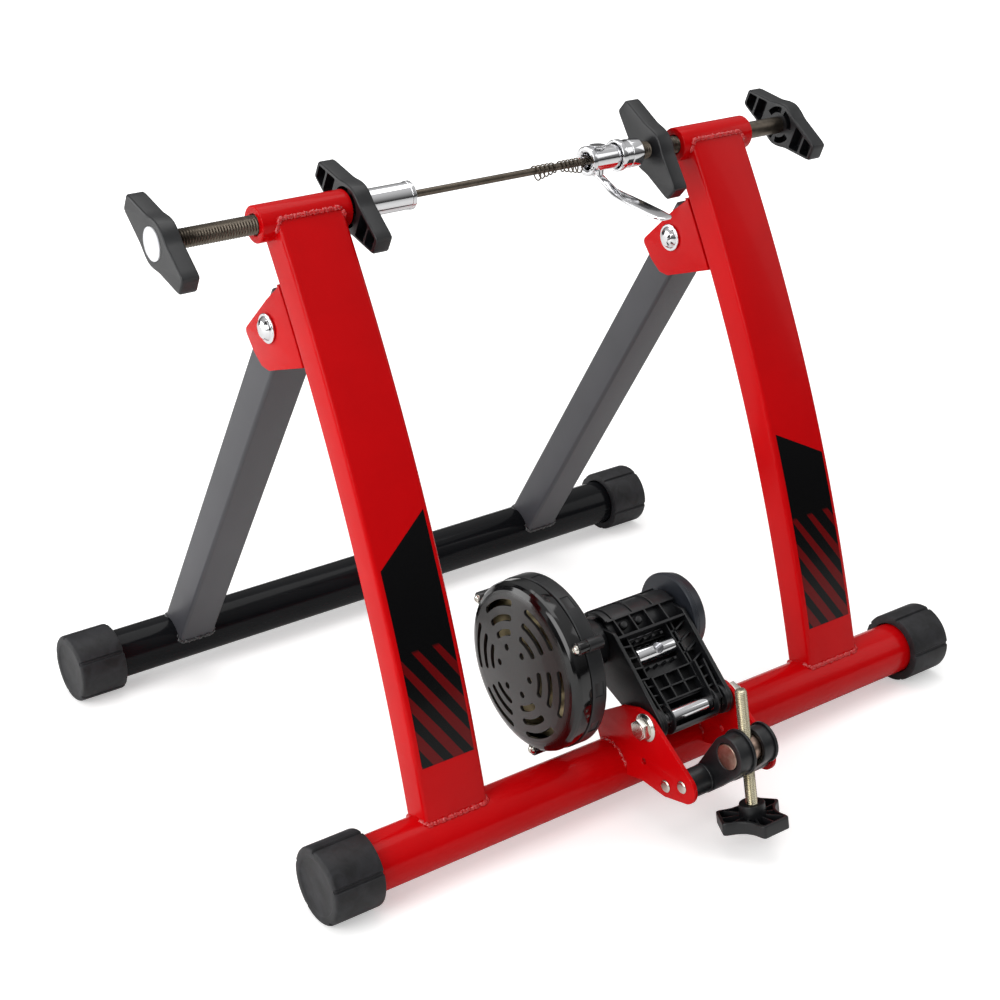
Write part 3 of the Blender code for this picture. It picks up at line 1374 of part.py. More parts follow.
def brake_parts():
    """The conductor disc on the shaft, and the ring of magnets behind it."""
    shaft_bore = SHAFT_RADIUS + TOUCH
    disc_right = ROTOR_LEFT + ROTOR_THICKNESS
    profile = [
        (ROTOR_LEFT, shaft_bore),
        (ROTOR_LEFT, ROTOR_RADIUS),
        (disc_right, ROTOR_RADIUS),
        (disc_right, ROTOR_HUB_RADIUS),
        (disc_right + ROTOR_HUB, ROTOR_HUB_RADIUS),
        (disc_right + ROTOR_HUB, shaft_bore),
    ]
    part(turned("brake_disc", profile, BIG_SIDES), roller_line, ALUMINIUM)
    seat = DRUM_BACK - DRUM_WALL - TOUCH
    part(cylinder("magnet_ring", MAGNET_OUTER, seat - MAGNET_DEPTH, seat, BIG_SIDES, bore=MAGNET_INNER),
         roller_line, DARK_STEEL)


drum_cover()
drum_housing()
drum_screws()
brake_parts()


# Tension link, cross pin and adjusting bolt

def link_arm_outline(radius):
    """The straight-sided web from the sleeve to one boss, round at both ends."""
    reach = math.hypot(CROSS_Y, CROSS_Z)
    heading = math.atan2(CROSS_Z, CROSS_Y)
    splay = math.asin((radius - LINK_SLEEVE_RADIUS) / reach)
    quarter = math.pi / 2 + splay
    boss = arc((CROSS_Y, CROSS_Z), radius, heading - quarter, heading + quarter, 14)
    sleeve = arc((0, 0), LINK_SLEEVE_RADIUS, heading + quarter, heading + FULL_TURN - quarter, 8)
    return boss + sleeve


def tension_link():
    """A moulded link that swings on its pin and carries the cross pin in two bosses."""
    end = HALF_INNER - SWIVEL
    link = part(cylinder("tension_link", LINK_SLEEVE_RADIUS - ARM_SETBACK, -end, end), link_line, NYLON)
    collars = []
    for word, middle in (("left", LEFT_BOSS_END), ("right", RIGHT_BOSS_END)):
        ends = (middle - LINK_COLLAR, middle + LINK_COLLAR)
        collars.append(cylinder(f"{word}_link_collar", LINK_COLLAR_RADIUS, *ends))
    combine(
        link,
        "UNION",
        prism("left_link_arm", [link_arm_outline(LEFT_BOSS_RADIUS)], LEFT_BOSS_END, -BOSS_INNER),
        prism("right_link_arm", [link_arm_outline(RIGHT_BOSS_RADIUS)], BOSS_INNER, RIGHT_BOSS_END),
        *collars,
    )
    pin_hole = cylinder("cross_pin_hole", CROSS_RADIUS + TOUCH, 2 * LEFT_BOSS_END, 2 * RIGHT_BOSS_END)
    pin_hole.location = (0, CROSS_Y, CROSS_Z)
    combine(
        link,
        "DIFFERENCE",
        cylinder("link_bore", LINK_PIN_RADIUS + TOUCH, -UNIT_INNER, UNIT_INNER, SMALL_SIDES),
        pin_hole,
    )


def cross_pin():
    """A thick steel pin that the adjusting bolt screws through."""
    pin = cylinder("cross_pin", CROSS_RADIUS, LEFT_BOSS_END - TOUCH, RIGHT_BOSS_END + TOUCH)
    part(pin, bolt_line, COPPER_STEEL)
    hole = cylinder("cross_pin_thread", BOLT_RADIUS + TOUCH, -2 * CROSS_RADIUS, 2 * CROSS_RADIUS,
                    SMALL_SIDES, "Z")
    combine(pin, "DIFFERENCE", hole)


def adjusting_bolt():
    """The long bolt, from its tip down into its three-lobed knob."""
    low = GRIP_TOP - GRIP_BOLT_DEPTH
    profile = [
        (BOLT_TOP, 0.0),
        (BOLT_TOP, BOLT_RADIUS - BOLT_TIP_TAPER),
        (BOLT_TOP - BOLT_TIP_TAPER, BOLT_RADIUS),
        (low, BOLT_RADIUS),
        (low, 0.0),
    ]
    part(turned("adjusting_bolt", profile, SMALL_SIDES, "Z"), bolt_line, ZINC)


def grip_outline(reach, half, chamfer, valley):
    """Three flat-ended lobes with hollows between them."""
    corners = (
        (reach - chamfer, -half),
        (reach, chamfer - half),
        (reach, half - chamfer),
        (reach - chamfer, half),
    )
    points = []
    for lobe in range(3):
        heading = GRIP_TURN + FULL_TURN * lobe / 3
        points += [turned_point(*corner, heading) for corner in corners]
        points.append(turned_point(valley, 0, heading + FULL_TURN / 6))
    return points


def adjuster_knob():
    """The moulded knob at the bolt's foot, hollow between its hub and its rim."""
    outside = grip_outline(GRIP_REACH, GRIP_TIP / 2, GRIP_TIP_CHAMFER, GRIP_VALLEY)
    grip = prism("adjuster_knob", [outside], GRIP_BOTTOM, GRIP_LOBE_TOP, "Z")
    part(grip, bolt_line, NYLON)
    round_edges(grip, GRIP_EDGE)
    inside = grip_outline(
        GRIP_REACH - GRIP_WALL,
        GRIP_TIP / 2 - GRIP_WALL,
        GRIP_TIP_CHAMFER,
        GRIP_VALLEY - 1.3 * GRIP_WALL,
    )
    floor = GRIP_BOTTOM + GRIP_FLOOR
    hollow = prism("grip_hollow", [inside], floor, GRIP_LOBE_TOP + GRIP_FLOOR, "Z")
    hub = cylinder("grip_hub", GRIP_HUB_RADIUS, floor - GRIP_FLOOR / 2, GRIP_TOP, SMALL_SIDES, "Z")
    bore = cylinder("grip_bore", BOLT_RADIUS + TOUCH, GRIP_TOP - GRIP_BOLT_DEPTH - TOUCH,
                    GRIP_TOP + GRIP_BOLT_DEPTH, SMALL_SIDES, "Z")
    combine(grip, "DIFFERENCE", hollow)
    combine(grip, "UNION", hub)
    combine(grip, "DIFFERENCE", bore)


tension_link()
cross_pin()
adjusting_bolt()
adjuster_knob()


# The finished meshes, shaded smooth with sharp edges

def apply_shapes():
    """Gives each piece its modelled mesh in place of its modifiers or curve."""
    bpy.context.view_layer.update()
    graph = bpy.context.evaluated_depsgraph_get()
    pieces = [obj for obj in trainer.objects if obj.type in ("MESH", "CURVE")]
    meshes = {}
    for piece in pieces:
        meshes[piece.name] = bpy.data.meshes.new_from_object(piece.evaluated_get(graph))
    for piece in pieces:
        mesh = meshes[piece.name]
        if piece.type == "CURVE":
            continue
        piece.modifiers.clear()
        piece.data = mesh
        work = bmesh.new()
        work.from_mesh(mesh)
        bmesh.ops.remove_doubles(work, verts=work.verts, dist=WELD)
        bmesh.ops.dissolve_degenerate(work, edges=work.edges, dist=WELD)
        work.to_mesh(mesh)
        work.free()
        mesh.shade_smooth()
        mesh.set_sharp_from_angle(angle=math.radians(35))


apply_shapes()
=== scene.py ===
"""The looks of a folding wheel-on bike trainer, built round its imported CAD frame.

The sections follow the trainer as it is put together. Metres, +Z up, and every place
is measured from the floor point under the middle of the front base tube.
"""

import math

import bmesh
import bpy
from mathutils import Matrix, Vector


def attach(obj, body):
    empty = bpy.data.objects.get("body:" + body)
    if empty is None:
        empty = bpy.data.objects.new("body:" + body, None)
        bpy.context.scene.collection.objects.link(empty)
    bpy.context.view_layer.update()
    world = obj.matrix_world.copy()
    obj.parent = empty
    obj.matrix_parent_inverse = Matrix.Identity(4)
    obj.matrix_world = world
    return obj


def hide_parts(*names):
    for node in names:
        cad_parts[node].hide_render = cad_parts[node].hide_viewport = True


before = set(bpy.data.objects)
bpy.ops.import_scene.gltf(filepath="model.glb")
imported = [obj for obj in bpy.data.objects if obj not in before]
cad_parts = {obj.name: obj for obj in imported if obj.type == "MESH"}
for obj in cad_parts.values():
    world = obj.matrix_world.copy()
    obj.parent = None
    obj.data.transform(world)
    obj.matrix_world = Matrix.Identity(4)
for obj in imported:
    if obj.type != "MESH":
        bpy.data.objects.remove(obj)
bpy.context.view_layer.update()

FRONT = Matrix.Translation((0, -0.1302, 0))


# Studio: a white floor and sweep, broad softboxes from the left and above, and a
# camera above the axle, looking down from the front left with a short telephoto lens.
# The backdrop is white to the camera, and darkens downwards in reflections.

def linear(colour):
    """A #RRGGBB colour in linear light."""
    parts = [int(colour[start:start + 2], 16) / 255 for start in (1, 3, 5)]
    return tuple(p / 12.92 if p <= 0.04045 else ((p + 0.055) / 1.055) ** 2.4 for p in parts) + (1.0,)


def add(tree, kind, settings=None, links=None):
    """Adds a node, with its settings and the outputs that feed its inputs."""
    made = tree.nodes.new("ShaderNode" + kind)
    for name, value in (settings or {}).items():
        if isinstance(name, int) or name in made.inputs:
            made.inputs[name].default_value = value
        else:
            setattr(made, name, value)
    for name, output in (links or {}).items():
        tree.links.new(output, made.inputs[name])
    return made


def ramp(tree, value, low, high, start=0.0, end=1.0):
    """The value taken from start..end to low..high."""
    limits = {"From Min": start, "From Max": end, "To Min": low, "To Max": high}
    return add(tree, "MapRange", limits, {"Value": value}).outputs[0]


def studio():
    scene = bpy.context.scene
    scene.view_settings.view_transform = "Standard"
    world = bpy.data.worlds.new("white_studio")
    scene.world = world
    world.use_nodes = True
    tree = world.node_tree
    tree.nodes.clear()
    ray = add(tree, "LightPath")
    direct = {0: ray.outputs["Is Camera Ray"], 1: ray.outputs["Is Transmission Ray"]}
    seen = add(tree, "Math", {"operation": "MAXIMUM"}, direct)
    place = add(tree, "TexCoord")
    height = add(tree, "SeparateXYZ", None, {0: place.outputs["Generated"]})
    glow = ramp(tree, height.outputs[2], 0.05, 0.62, 0.05, 0.8)
    ambient = add(tree, "Background", {"Color": linear("#FFFFFF")}, {"Strength": glow})
    sweep = add(tree, "Background", {"Color": linear("#FFFFFF"), "Strength": 1.0})
    mixed = add(tree, "MixShader", None, {0: seen.outputs[0], 1: ambient.outputs[0], 2: sweep.outputs[0]})
    add(tree, "OutputWorld", None, {"Surface": mixed.outputs[0]})

    work = bmesh.new()
    bmesh.ops.create_grid(work, x_segments=24, y_segments=24, size=4.0)
    mesh = bpy.data.meshes.new("studio_floor")
    work.to_mesh(mesh)
    work.free()
    floor = bpy.data.objects.new("studio_floor", mesh)
    scene.collection.objects.link(floor)
    floor.location.z = -0.0004
    white = bpy.data.materials.new("white_paper_sweep")
    white.use_nodes = True
    tree = white.node_tree
    tree.nodes.clear()
    ray = add(tree, "LightPath")
    paper = add(tree, "BsdfDiffuse", {"Color": linear("#F4F4F3")})
    spot = add(tree, "TexCoord")
    away = add(tree, "VectorMath", {"operation": "LENGTH"}, {0: spot.outputs["Object"]})
    level = ramp(tree, away.outputs["Value"], 0.41, 0.95, 0.5, 2.0)
    lift = add(tree, "Emission", {"Color": linear("#FFFFFF")}, {"Strength": level})
    off = add(tree, "Emission", {"Color": linear("#FFFFFF"), "Strength": 0.0})
    shown = {0: ray.outputs["Is Camera Ray"], 1: off.outputs[0], 2: lift.outputs[0]}
    glow = add(tree, "MixShader", None, shown)
    both = add(tree, "AddShader", None, {0: paper.outputs[0], 1: glow.outputs[0]})
    add(tree, "OutputMaterial", None, {"Surface": both.outputs[0]})
    mesh.materials.append(white)

    boxes = (
        ("left_softbox", (-1.9, -0.5, 1.1), 1.4, 22),
        ("back_left_softbox", (-1.9, 1.4, 0.7), 1.4, 20),
        ("top_softbox", (0.2, 0.2, 2.3), 1.8, 17),
        ("right_softbox", (2.0, -0.9, 1.3), 1.3, 5),
    )
    for name, place, width, power in boxes:
        light = bpy.data.lights.new(name, "AREA")
        light.shape = "SQUARE"
        light.size = width
        light.energy = power
        lamp = bpy.data.objects.new(name, light)
        lamp.location = place
        aim = Vector((0, 0, 0.2)) - lamp.location
        lamp.rotation_euler = aim.to_track_quat("-Z", "Y").to_euler()
        scene.collection.objects.link(lamp)

    turn, rise, roll = math.radians(-35.48), math.radians(23.22), math.radians(-1.3)
    right = Vector((math.cos(turn), math.sin(turn), 0))
    level = math.cos(rise)
    back = Vector((math.sin(turn) * level, -math.cos(turn) * level, math.sin(rise)))
    above = back.cross(right)
    level_right = right * math.cos(roll) + above * math.sin(roll)
    level_up = above * math.cos(roll) - right * math.sin(roll)
    place = FRONT @ Vector((-0.73464, -0.85243, 0.69702))
    lens = bpy.data.cameras.new("studio_camera")
    lens.lens = 66.58
    lens.sensor_width = 36
    camera = bpy.data.objects.new("studio_camera", lens)
    camera.matrix_world = Matrix((
        (level_right.x, level_up.x, back.x, place.x),
        (level_right.y, level_up.y, back.y, place.y),
        (level_right.z, level_up.z, back.z, place.z),
        (0, 0, 0, 1),
    ))
    scene.collection.objects.link(camera)
    scene.camera = camera


studio()


# Base tubes: two straight lengths of 38 mm welded steel tube. The front one is powder
# coated red with the stand, and the rear one is black and belongs to the folding frame.

def surface(name, colour, roughness, metallic=0.0, **extra):
    """A material with a Principled surface, for a finish to build on."""
    material = bpy.data.materials.new(name)
    material.use_nodes = True
    inputs = material.node_tree.nodes["Principled BSDF"].inputs
    settings = {"Base_Color": linear(colour), "Roughness": roughness, "Metallic": metallic, **extra}
    for words, value in settings.items():
        inputs[words.replace("_", " ")].default_value = value
    return material, material.node_tree


def finish(material, **feeds):
    """Feeds a finish to the inputs of its surface."""
    tree = material.node_tree
    for words, output in feeds.items():
        tree.links.new(output, tree.nodes["Principled BSDF"].inputs[words.replace("_", " ")])
    return material


def in_mm(tree, stretch=(1.0, 1.0, 1.0)):
    """Where a point lies on its piece, in millimetres, maybe drawn out along an axis."""
    place = add(tree, "TexCoord")
    scale = [1000 * factor for factor in stretch]
    return add(tree, "Mapping", {"Scale": scale}, {0: place.outputs["Object"]}).outputs[0]


def noise(tree, where, scale, detail=2.0, **more):
    """Cloudy noise, with this many patches to the millimetre."""
    return add(tree, "TexNoise", {"Scale": scale, "Detail": detail, **more}, {0: where}).outputs[0]


def blend(tree, share, first, second):
    """A colour between two."""
    ends = {"data_type": "RGBA", 6: linear(first), 7: linear(second)}
    return add(tree, "Mix", ends, {0: share}).outputs[2]


def relief(tree, height, strength, distance, **feeds):
    """A surface normal from a height."""
    settings = {"Strength": strength, "Distance": distance}
    return add(tree, "Bump", settings, {"Height": height, **feeds}).outputs[0]


def powder_coat(name, colour, deep, roughness, peel):
    """Baked powder on steel: a thick, even colour whose surface flows out into a fine
    orange peel about 2 mm across, which breaks up the edges of reflections."""
    material, tree = surface(name, colour, roughness, Specular_IOR_Level=0.10,
                             Coat_Weight=0.06, Coat_Roughness=0.05)
    where = in_mm(tree)
    waves = noise(tree, where, 0.42, 1.5, Roughness=0.45)
    specks = noise(tree, where, 2.6)
    both = add(tree, "Math", {"operation": "MULTIPLY_ADD", 1: 0.18}, {0: specks, 2: waves})
    return finish(material, Base_Color=blend(tree, noise(tree, where, 0.03), colour, deep),
                  Normal=relief(tree, both.outputs[0], peel, 0.00035))


RED_POWDER = powder_coat("red_powder_coat_on_steel", "#D0050B", "#BE0409", 0.22, 0.22)
BLACK_POWDER = powder_coat("black_gloss_powder_coat", "#0C0D0F", "#131417", 0.16, 0.12)


def eased(points, reach, ring=False, steps=4):
    """The points with each corner turned into a small arc."""
    out = []
    count = len(points)
    for index in range(count):
        here = Vector(points[index])
        if not ring and index in (0, count - 1):
            out.append(tuple(here))
            continue
        back = Vector(points[index - 1]) - here
        ahead = Vector(points[(index + 1) % count]) - here
        if back.length < 1e-7 or ahead.length < 1e-7:
            continue
        half = back.angle(ahead) / 2
        if half > 1.54 or half < 0.03:
            out.append(tuple(here))
            continue
        cut = min(reach / math.tan(half), 0.48 * back.length, 0.48 * ahead.length)
        inner = cut * math.tan(half)
        middle = here + (back.normalized() + ahead.normalized()).normalized() * (inner / math.sin(half))
        first = here + back.normalized() * cut - middle
        last = here + ahead.normalized() * cut - middle
        for step in range(steps + 1):
            share = step / steps
            out.append(tuple(middle + first.lerp(last, share).normalized() * inner))
    return out


def lofted(work, rows, name, ring=False):
    """The mesh through rows of corners. A row of one corner is a point."""
    sides = max(len(row) for row in rows)
    for first, second in zip(rows, rows[1:] + (rows[:1] if ring else [])):
        for k in range(sides):
            n = (k + 1) % sides
            quad = (first[k % len(first)], first[n % len(first)], second[n % len(second)],
                    second[k % len(second)])
            corners = list(dict.fromkeys(quad))
            if len(corners) > 2:
                work.faces.new(corners)
    return outward(work, name)


def outward(work, name):
    """The finished mesh, with its faces turned outwards."""
    bmesh.ops.recalc_face_normals(work, faces=work.faces)
    mesh = bpy.data.meshes.new(name)
    work.to_mesh(mesh)
    work.free()
    return mesh


def polar(reach, count):
    """Points round a middle, as far out as reach says for each angle."""
    angles = [2 * math.pi * k / count for k in range(count)]
    return [(reach(a) * math.cos(a), reach(a) * math.sin(a)) for a in angles]


def hoop(work, along, reach, sides):
    return [work.verts.new((along, *point)) for point in polar(reach, sides)]


def turned(profile, sides=72, ease=0.0004):
    """A mesh spun about X from (along, radius) points. With no point on the axis the
    profile is a ring."""
    ring = min(radius for _, radius in profile) > 1e-7
    work = bmesh.new()
    rows = []
    for along, radius in eased(profile, ease, ring) if ease else profile:
        if radius < 1e-7:
            rows.append([work.verts.new((along, 0, 0))])
        else:
            rows.append(hoop(work, along, lambda angle: radius, sides))
    return lofted(work, rows, "turned", ring)


def rod(low, high, radius, sides=72, ease=0.0004):
    return turned([(low, 0), (low, radius), (high, radius), (high, 0)], sides, ease)


def pipe(low, high, outer, inner, sides=72, ease=0.0004):
    return turned([(low, outer), (high, outer), (high, inner), (low, inner)], sides, ease)


def shift(x, y, z):
    return Matrix.Translation((x, y, z))


def joined(*meshes):
    """Several meshes as one."""
    work = bmesh.new()
    for mesh in meshes:
        work.from_mesh(mesh)
    whole = bpy.data.meshes.new("joined")
    work.to_mesh(whole)
    work.free()
    return whole


def moved(mesh, place):
    mesh.transform(place)
    return mesh


def piece(name, mesh, place, material, body, slot, *nodes):
    """Puts a finished mesh on its body, in the stead of its CAD nodes."""
    mesh.transform(place)
    if place.determinant() < 0:
        mesh.flip_normals()
    mesh.name = name
    mesh.materials.clear()
    mesh.materials.append(material)
    mesh.shade_smooth()
    mesh.set_sharp_from_angle(angle=math.radians(38))
    obj = bpy.data.objects.new(name, mesh)
    bpy.context.scene.collection.objects.link(obj)
    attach(obj, body)
    if nodes:
        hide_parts(*nodes)
    return obj


TUBE_RADIUS = 0.019
TUBE_HEIGHT = 0.026 * math.cos(math.pi / 28)
TUBE_BORE = TUBE_RADIUS - 0.0018
REAR_TUBE = (0, 0.3624, TUBE_HEIGHT)
FRONT_TUBE = (0, 0, TUBE_HEIGHT)
for name, half, place, coat, body, slot in (
    ("front_tube", 0.2692, FRONT_TUBE, RED_POWDER, "stand", "red_paint"),
    ("rear_tube", 0.2721, REAR_TUBE, BLACK_POWDER, "rear_frame", "black_paint"),
):
    piece(name, pipe(half, -half, TUBE_RADIUS, TUBE_BORE, 128, 0.0002), FRONT @ shift(*place),
          coat, body, slot, name.replace("tube", "base_tube"))


# End caps: four pushed-on feet of black rubber, moulded as cups with a sunk end face
# and five grooves along them, which keep the trainer from sliding.

def moulded_rubber():
    """Moulded rubber with carbon black: a dry dark grey, slightly greyer where it has
    rubbed, with flow marks a few millimetres wide."""
    material, tree = surface("moulded_black_rubber", "#161618", 0.55, Specular_IOR_Level=0.4)
    where = in_mm(tree)
    flow = noise(tree, where, 0.09, 5.0, Roughness=0.6, Distortion=0.6)
    tone = add(tree, "ValToRGB", None, {0: flow})
    for stop, position, colour in zip(tone.color_ramp.elements, (0.35, 0.75), ("#101012", "#28282C")):
        stop.position = position
        stop.color = linear(colour)
    return finish(material, Base_Color=tone.outputs[0],
                  Normal=relief(tree, noise(tree, where, 1.6, 3.0), 0.18, 0.0003))


RUBBER = moulded_rubber()
CAP_RADIUS = 0.026
GROOVE_DEPTH = 0.0014
GROOVE_HALF = 0.0016
GROOVE_SLOPE = 0.0006
GROOVED_FROM = 0.0245


def end_cap(turn, sides=360):
    """The cup with its closed end at X = 0, and grooves at every fifth of a turn."""
    profile = [
        (0.0009, 0.0), (0.0009, 0.0060), (0.0009, 0.0186), (0.0004, 0.0195), (0.0, 0.0202),
        (0.0, 0.0236), (0.0003, 0.0248), (0.0011, 0.0256), (0.0022, 0.0260), (0.0120, 0.0260),
        (0.0240, 0.0260), (0.0345, 0.0260), (0.0356, 0.0257), (0.0360, 0.0251), (0.0360, 0.0201),
        (0.0356, 0.0197), (0.0320, 0.0193), (0.0060, 0.0193), (0.0055, 0.0),
    ]

    def groove(angle):
        away = (angle - turn + math.pi / 5) % (2 * math.pi / 5) - math.pi / 5
        dip = (GROOVE_HALF - abs(away) * CAP_RADIUS) / GROOVE_SLOPE
        return GROOVE_DEPTH * min(1.0, max(0.0, dip))

    work = bmesh.new()
    rows = []
    for along, radius in profile:
        if radius == 0.0:
            rows.append([work.verts.new((along, 0, 0))])
        else:
            grooved = radius > GROOVED_FROM
            rows.append(hoop(work, along, lambda a: radius - (groove(a) if grooved else 0), sides))
    return lofted(work, rows, "end_cap")


for row, half, tube, body, turns in (
    ("front", 0.2743, FRONT_TUBE, "stand", (160, 172)),
    ("rear", 0.2772, REAR_TUBE, "rear_frame", (150, 187)),
):
    for word, side, turn in (("left", -1, turns[0]), ("right", 1, turns[1])):
        mesh = end_cap(math.radians(turn))
        if side > 0:
            mesh.transform(Matrix.Scale(-1, 4, (1, 0, 0)))
            mesh.flip_normals()
        piece(f"{row}_{word}_rubber_foot", mesh, FRONT @ shift(side * half, *tube[1:]), RUBBER,
              body, "cap_rubber", f"{row}_{word}_end_cap")


# Front legs: flat-sided round-cornered steel tube, rolled to a slow forward curve and
# mitred onto the base tube below and the axle sleeve above, powder coated with them.

AXLE = (0.1449, 0.4058)
LEG_BEND = 1.344
LEG_MIDDLES = (-0.0022 - 0.3393 / 2, -0.0022 + 0.3393 / 2)
LEG_WIDTH, LEG_DEPTH, LEG_CORNER = 0.0486, 0.0236, 0.0030
SLEEVE_RADIUS = 0.012
foot, head = Vector((0, TUBE_HEIGHT)), Vector(AXLE)
chord = head - foot
along = chord.normalized()
behind = Vector((along.y, -along.x))
half_turn = math.asin(chord.length / 2 / LEG_BEND)
bend_centre = (foot + head) / 2 + behind * (LEG_BEND * math.cos(half_turn))
toward = math.atan2(-behind.y, -behind.x)
leg_length = 2 * half_turn * LEG_BEND


def leg_point(travel, forward=0.0):
    """(y, z) on a leg, this far up its middle line and this far in front of it."""
    angle = toward + half_turn - travel / LEG_BEND
    return bend_centre + Vector((math.cos(angle), math.sin(angle))) * (LEG_BEND + forward)


def box_outline(width, depth, corner, steps=5):
    """A rectangle (across, forward) with round corners."""
    signs = ((-1, -1), (1, -1), (1, 1), (-1, 1))
    return eased([(x * width / 2, y * depth / 2) for x, y in signs], corner, True, steps)


def swept(rows, closed_ends=True):
    """A mesh through rows of points, each row the same loop a step further on."""
    work = bmesh.new()
    made = [[work.verts.new(point) for point in row] for row in rows]
    if closed_ends:
        work.faces.new(made[0])
        work.faces.new(list(reversed(made[-1])))
    return lofted(work, made, "swept")


def leg_tube(middle):
    """The bent tube, whose two ends follow the round tubes that they meet."""
    outline = box_outline(LEG_WIDTH, LEG_DEPTH, LEG_CORNER)
    rows = []
    stations = 48
    for step in range(stations + 1):
        row = []
        for across, forward in outline:
            low = math.sqrt(max(0.0, (TUBE_RADIUS - 0.0006) ** 2 - forward ** 2))
            high = leg_length - math.sqrt(max(0.0, (SLEEVE_RADIUS - 0.0004) ** 2 - forward ** 2))
            point = leg_point(low + (high - low) * step / stations, forward)
            row.append((middle + across, point.x, point.y))
        rows.append(row)
    return swept(rows)


for word, middle in zip(("left", "right"), LEG_MIDDLES):
    piece(f"{word}_front_leg", leg_tube(middle), FRONT, RED_POWDER, "stand", "red_paint", f"{word}_leg")


# Leg panels: a thin gloss black vinyl panel on the lower front of each leg, with plain
# slanted stripes in dark red. It is stuck on and follows the leg's curve.

def printed_vinyl():
    """Cast vinyl with a gloss laminate: a flat black print under a clear, smooth skin,
    and stripes of the print that thin out towards the top."""
    material, tree = surface("printed_black_vinyl", "#0B0B0C", 0.16, Specular_IOR_Level=0.15,
                             Coat_Weight=0.08, Coat_Roughness=0.05)
    place = add(tree, "TexCoord").outputs["Object"]
    slant = {"Rotation": (0, math.radians(34), 0), "Scale": (1000, 1000, 1000)}
    turn = add(tree, "Mapping", slant, {0: place})
    parts = add(tree, "SeparateXYZ", None, {0: turn.outputs[0]})
    tall = add(tree, "SeparateXYZ", None, {0: place}).outputs[2]
    wrap = add(tree, "Math", {"operation": "PINGPONG", 1: 6.5}, {0: parts.outputs[0]})
    width = ramp(tree, tall, 3.4, 0.5, 0.10, 0.22)
    line = add(tree, "Math", {"operation": "LESS_THAN"}, {0: wrap.outputs[0], 1: width})
    clear = ramp(tree, tall, 1.0, 0.0, 0.150, 0.152)
    shown = add(tree, "Math", {"operation": "MULTIPLY"}, {0: line.outputs[0], 1: clear})
    return finish(material, Base_Color=blend(tree, shown.outputs[0], "#0A0A0B", "#64080B"))


VINYL = printed_vinyl()
PANEL_GAP = 0.00012


def leg_panel(middle, low, high, slant, inset=0.0042):
    """A strip of film on the leg's front face, with a slanted top edge."""
    work = bmesh.new()
    across_steps, up_steps = 8, 40
    width = LEG_WIDTH - 2 * inset
    grid = []
    for up in range(up_steps + 1):
        row = []
        for step in range(across_steps + 1):
            across = (step / across_steps - 0.5) * width
            top = high + slant * across / width
            point = leg_point(low + (top - low) * up / up_steps, LEG_DEPTH / 2 + PANEL_GAP)
            row.append(work.verts.new((middle + across, point.x, point.y)))
        grid.append(row)
    for lower, upper in zip(grid, grid[1:]):
        for k in range(across_steps):
            work.faces.new((lower[k], lower[k + 1], upper[k + 1], upper[k]))
    return outward(work, "leg_panel")


for word, *spread in (("left", LEG_MIDDLES[0], 0.052, 0.196, 0.030),
                      ("right", LEG_MIDDLES[1], 0.044, 0.178, -0.022)):
    piece(f"{word}_leg_panel", leg_panel(*spread), FRONT, VINYL, "stand", "red_paint")


# Axle sleeves: a short thick-walled tube across the top of each leg, threaded for the
# clamp screw and welded in the leg's mouth.

SLEEVE_OUT, SLEEVE_IN = 0.0343, 0.0312
SLEEVE_ENDS = ((LEG_MIDDLES[0] - SLEEVE_OUT, LEG_MIDDLES[0] + SLEEVE_IN),
               (LEG_MIDDLES[1] - SLEEVE_IN, LEG_MIDDLES[1] + SLEEVE_OUT))
AXLE_LINE = FRONT @ shift(0, *AXLE)
for word, (low, high) in zip(("left", "right"), SLEEVE_ENDS):
    piece(f"{word}_top_sleeve", pipe(high, low, SLEEVE_RADIUS, 0.0068, 96, 0.0009), AXLE_LINE,
          RED_POWDER, "stand", "red_paint", f"{word}_axle_sleeve")


# Weld beads: hand-laid rows of overlapping puddles where the tubes and plates meet,
# under the same red powder coat, which stays glossy and sparkles on each ripple.

def coated_weld(name, colour):
    """Powder coat over a weld: the same paint, pooled glossy over ripples 2 mm apart,
    with spatter specks."""
    material, tree = surface(name, colour, 0.12, Coat_Weight=0.6, Coat_Roughness=0.03)
    ripples = noise(tree, in_mm(tree), 0.85, 3.0, Roughness=0.6)
    return finish(material, Normal=relief(tree, ripples, 0.75, 0.0008))


RED_WELD = coated_weld("red_coated_weld", "#C4060B")
BLACK_WELD = coated_weld("grey_coated_weld", "#1D1D20")


def round_line(point, side, rise, radius, sides):
    """A ring of points round a line, whose two cross directions are given."""
    angles = [2 * math.pi * k / sides for k in range(sides)]
    return [point + (side * math.cos(a) + rise * math.sin(a)) * radius for a in angles]


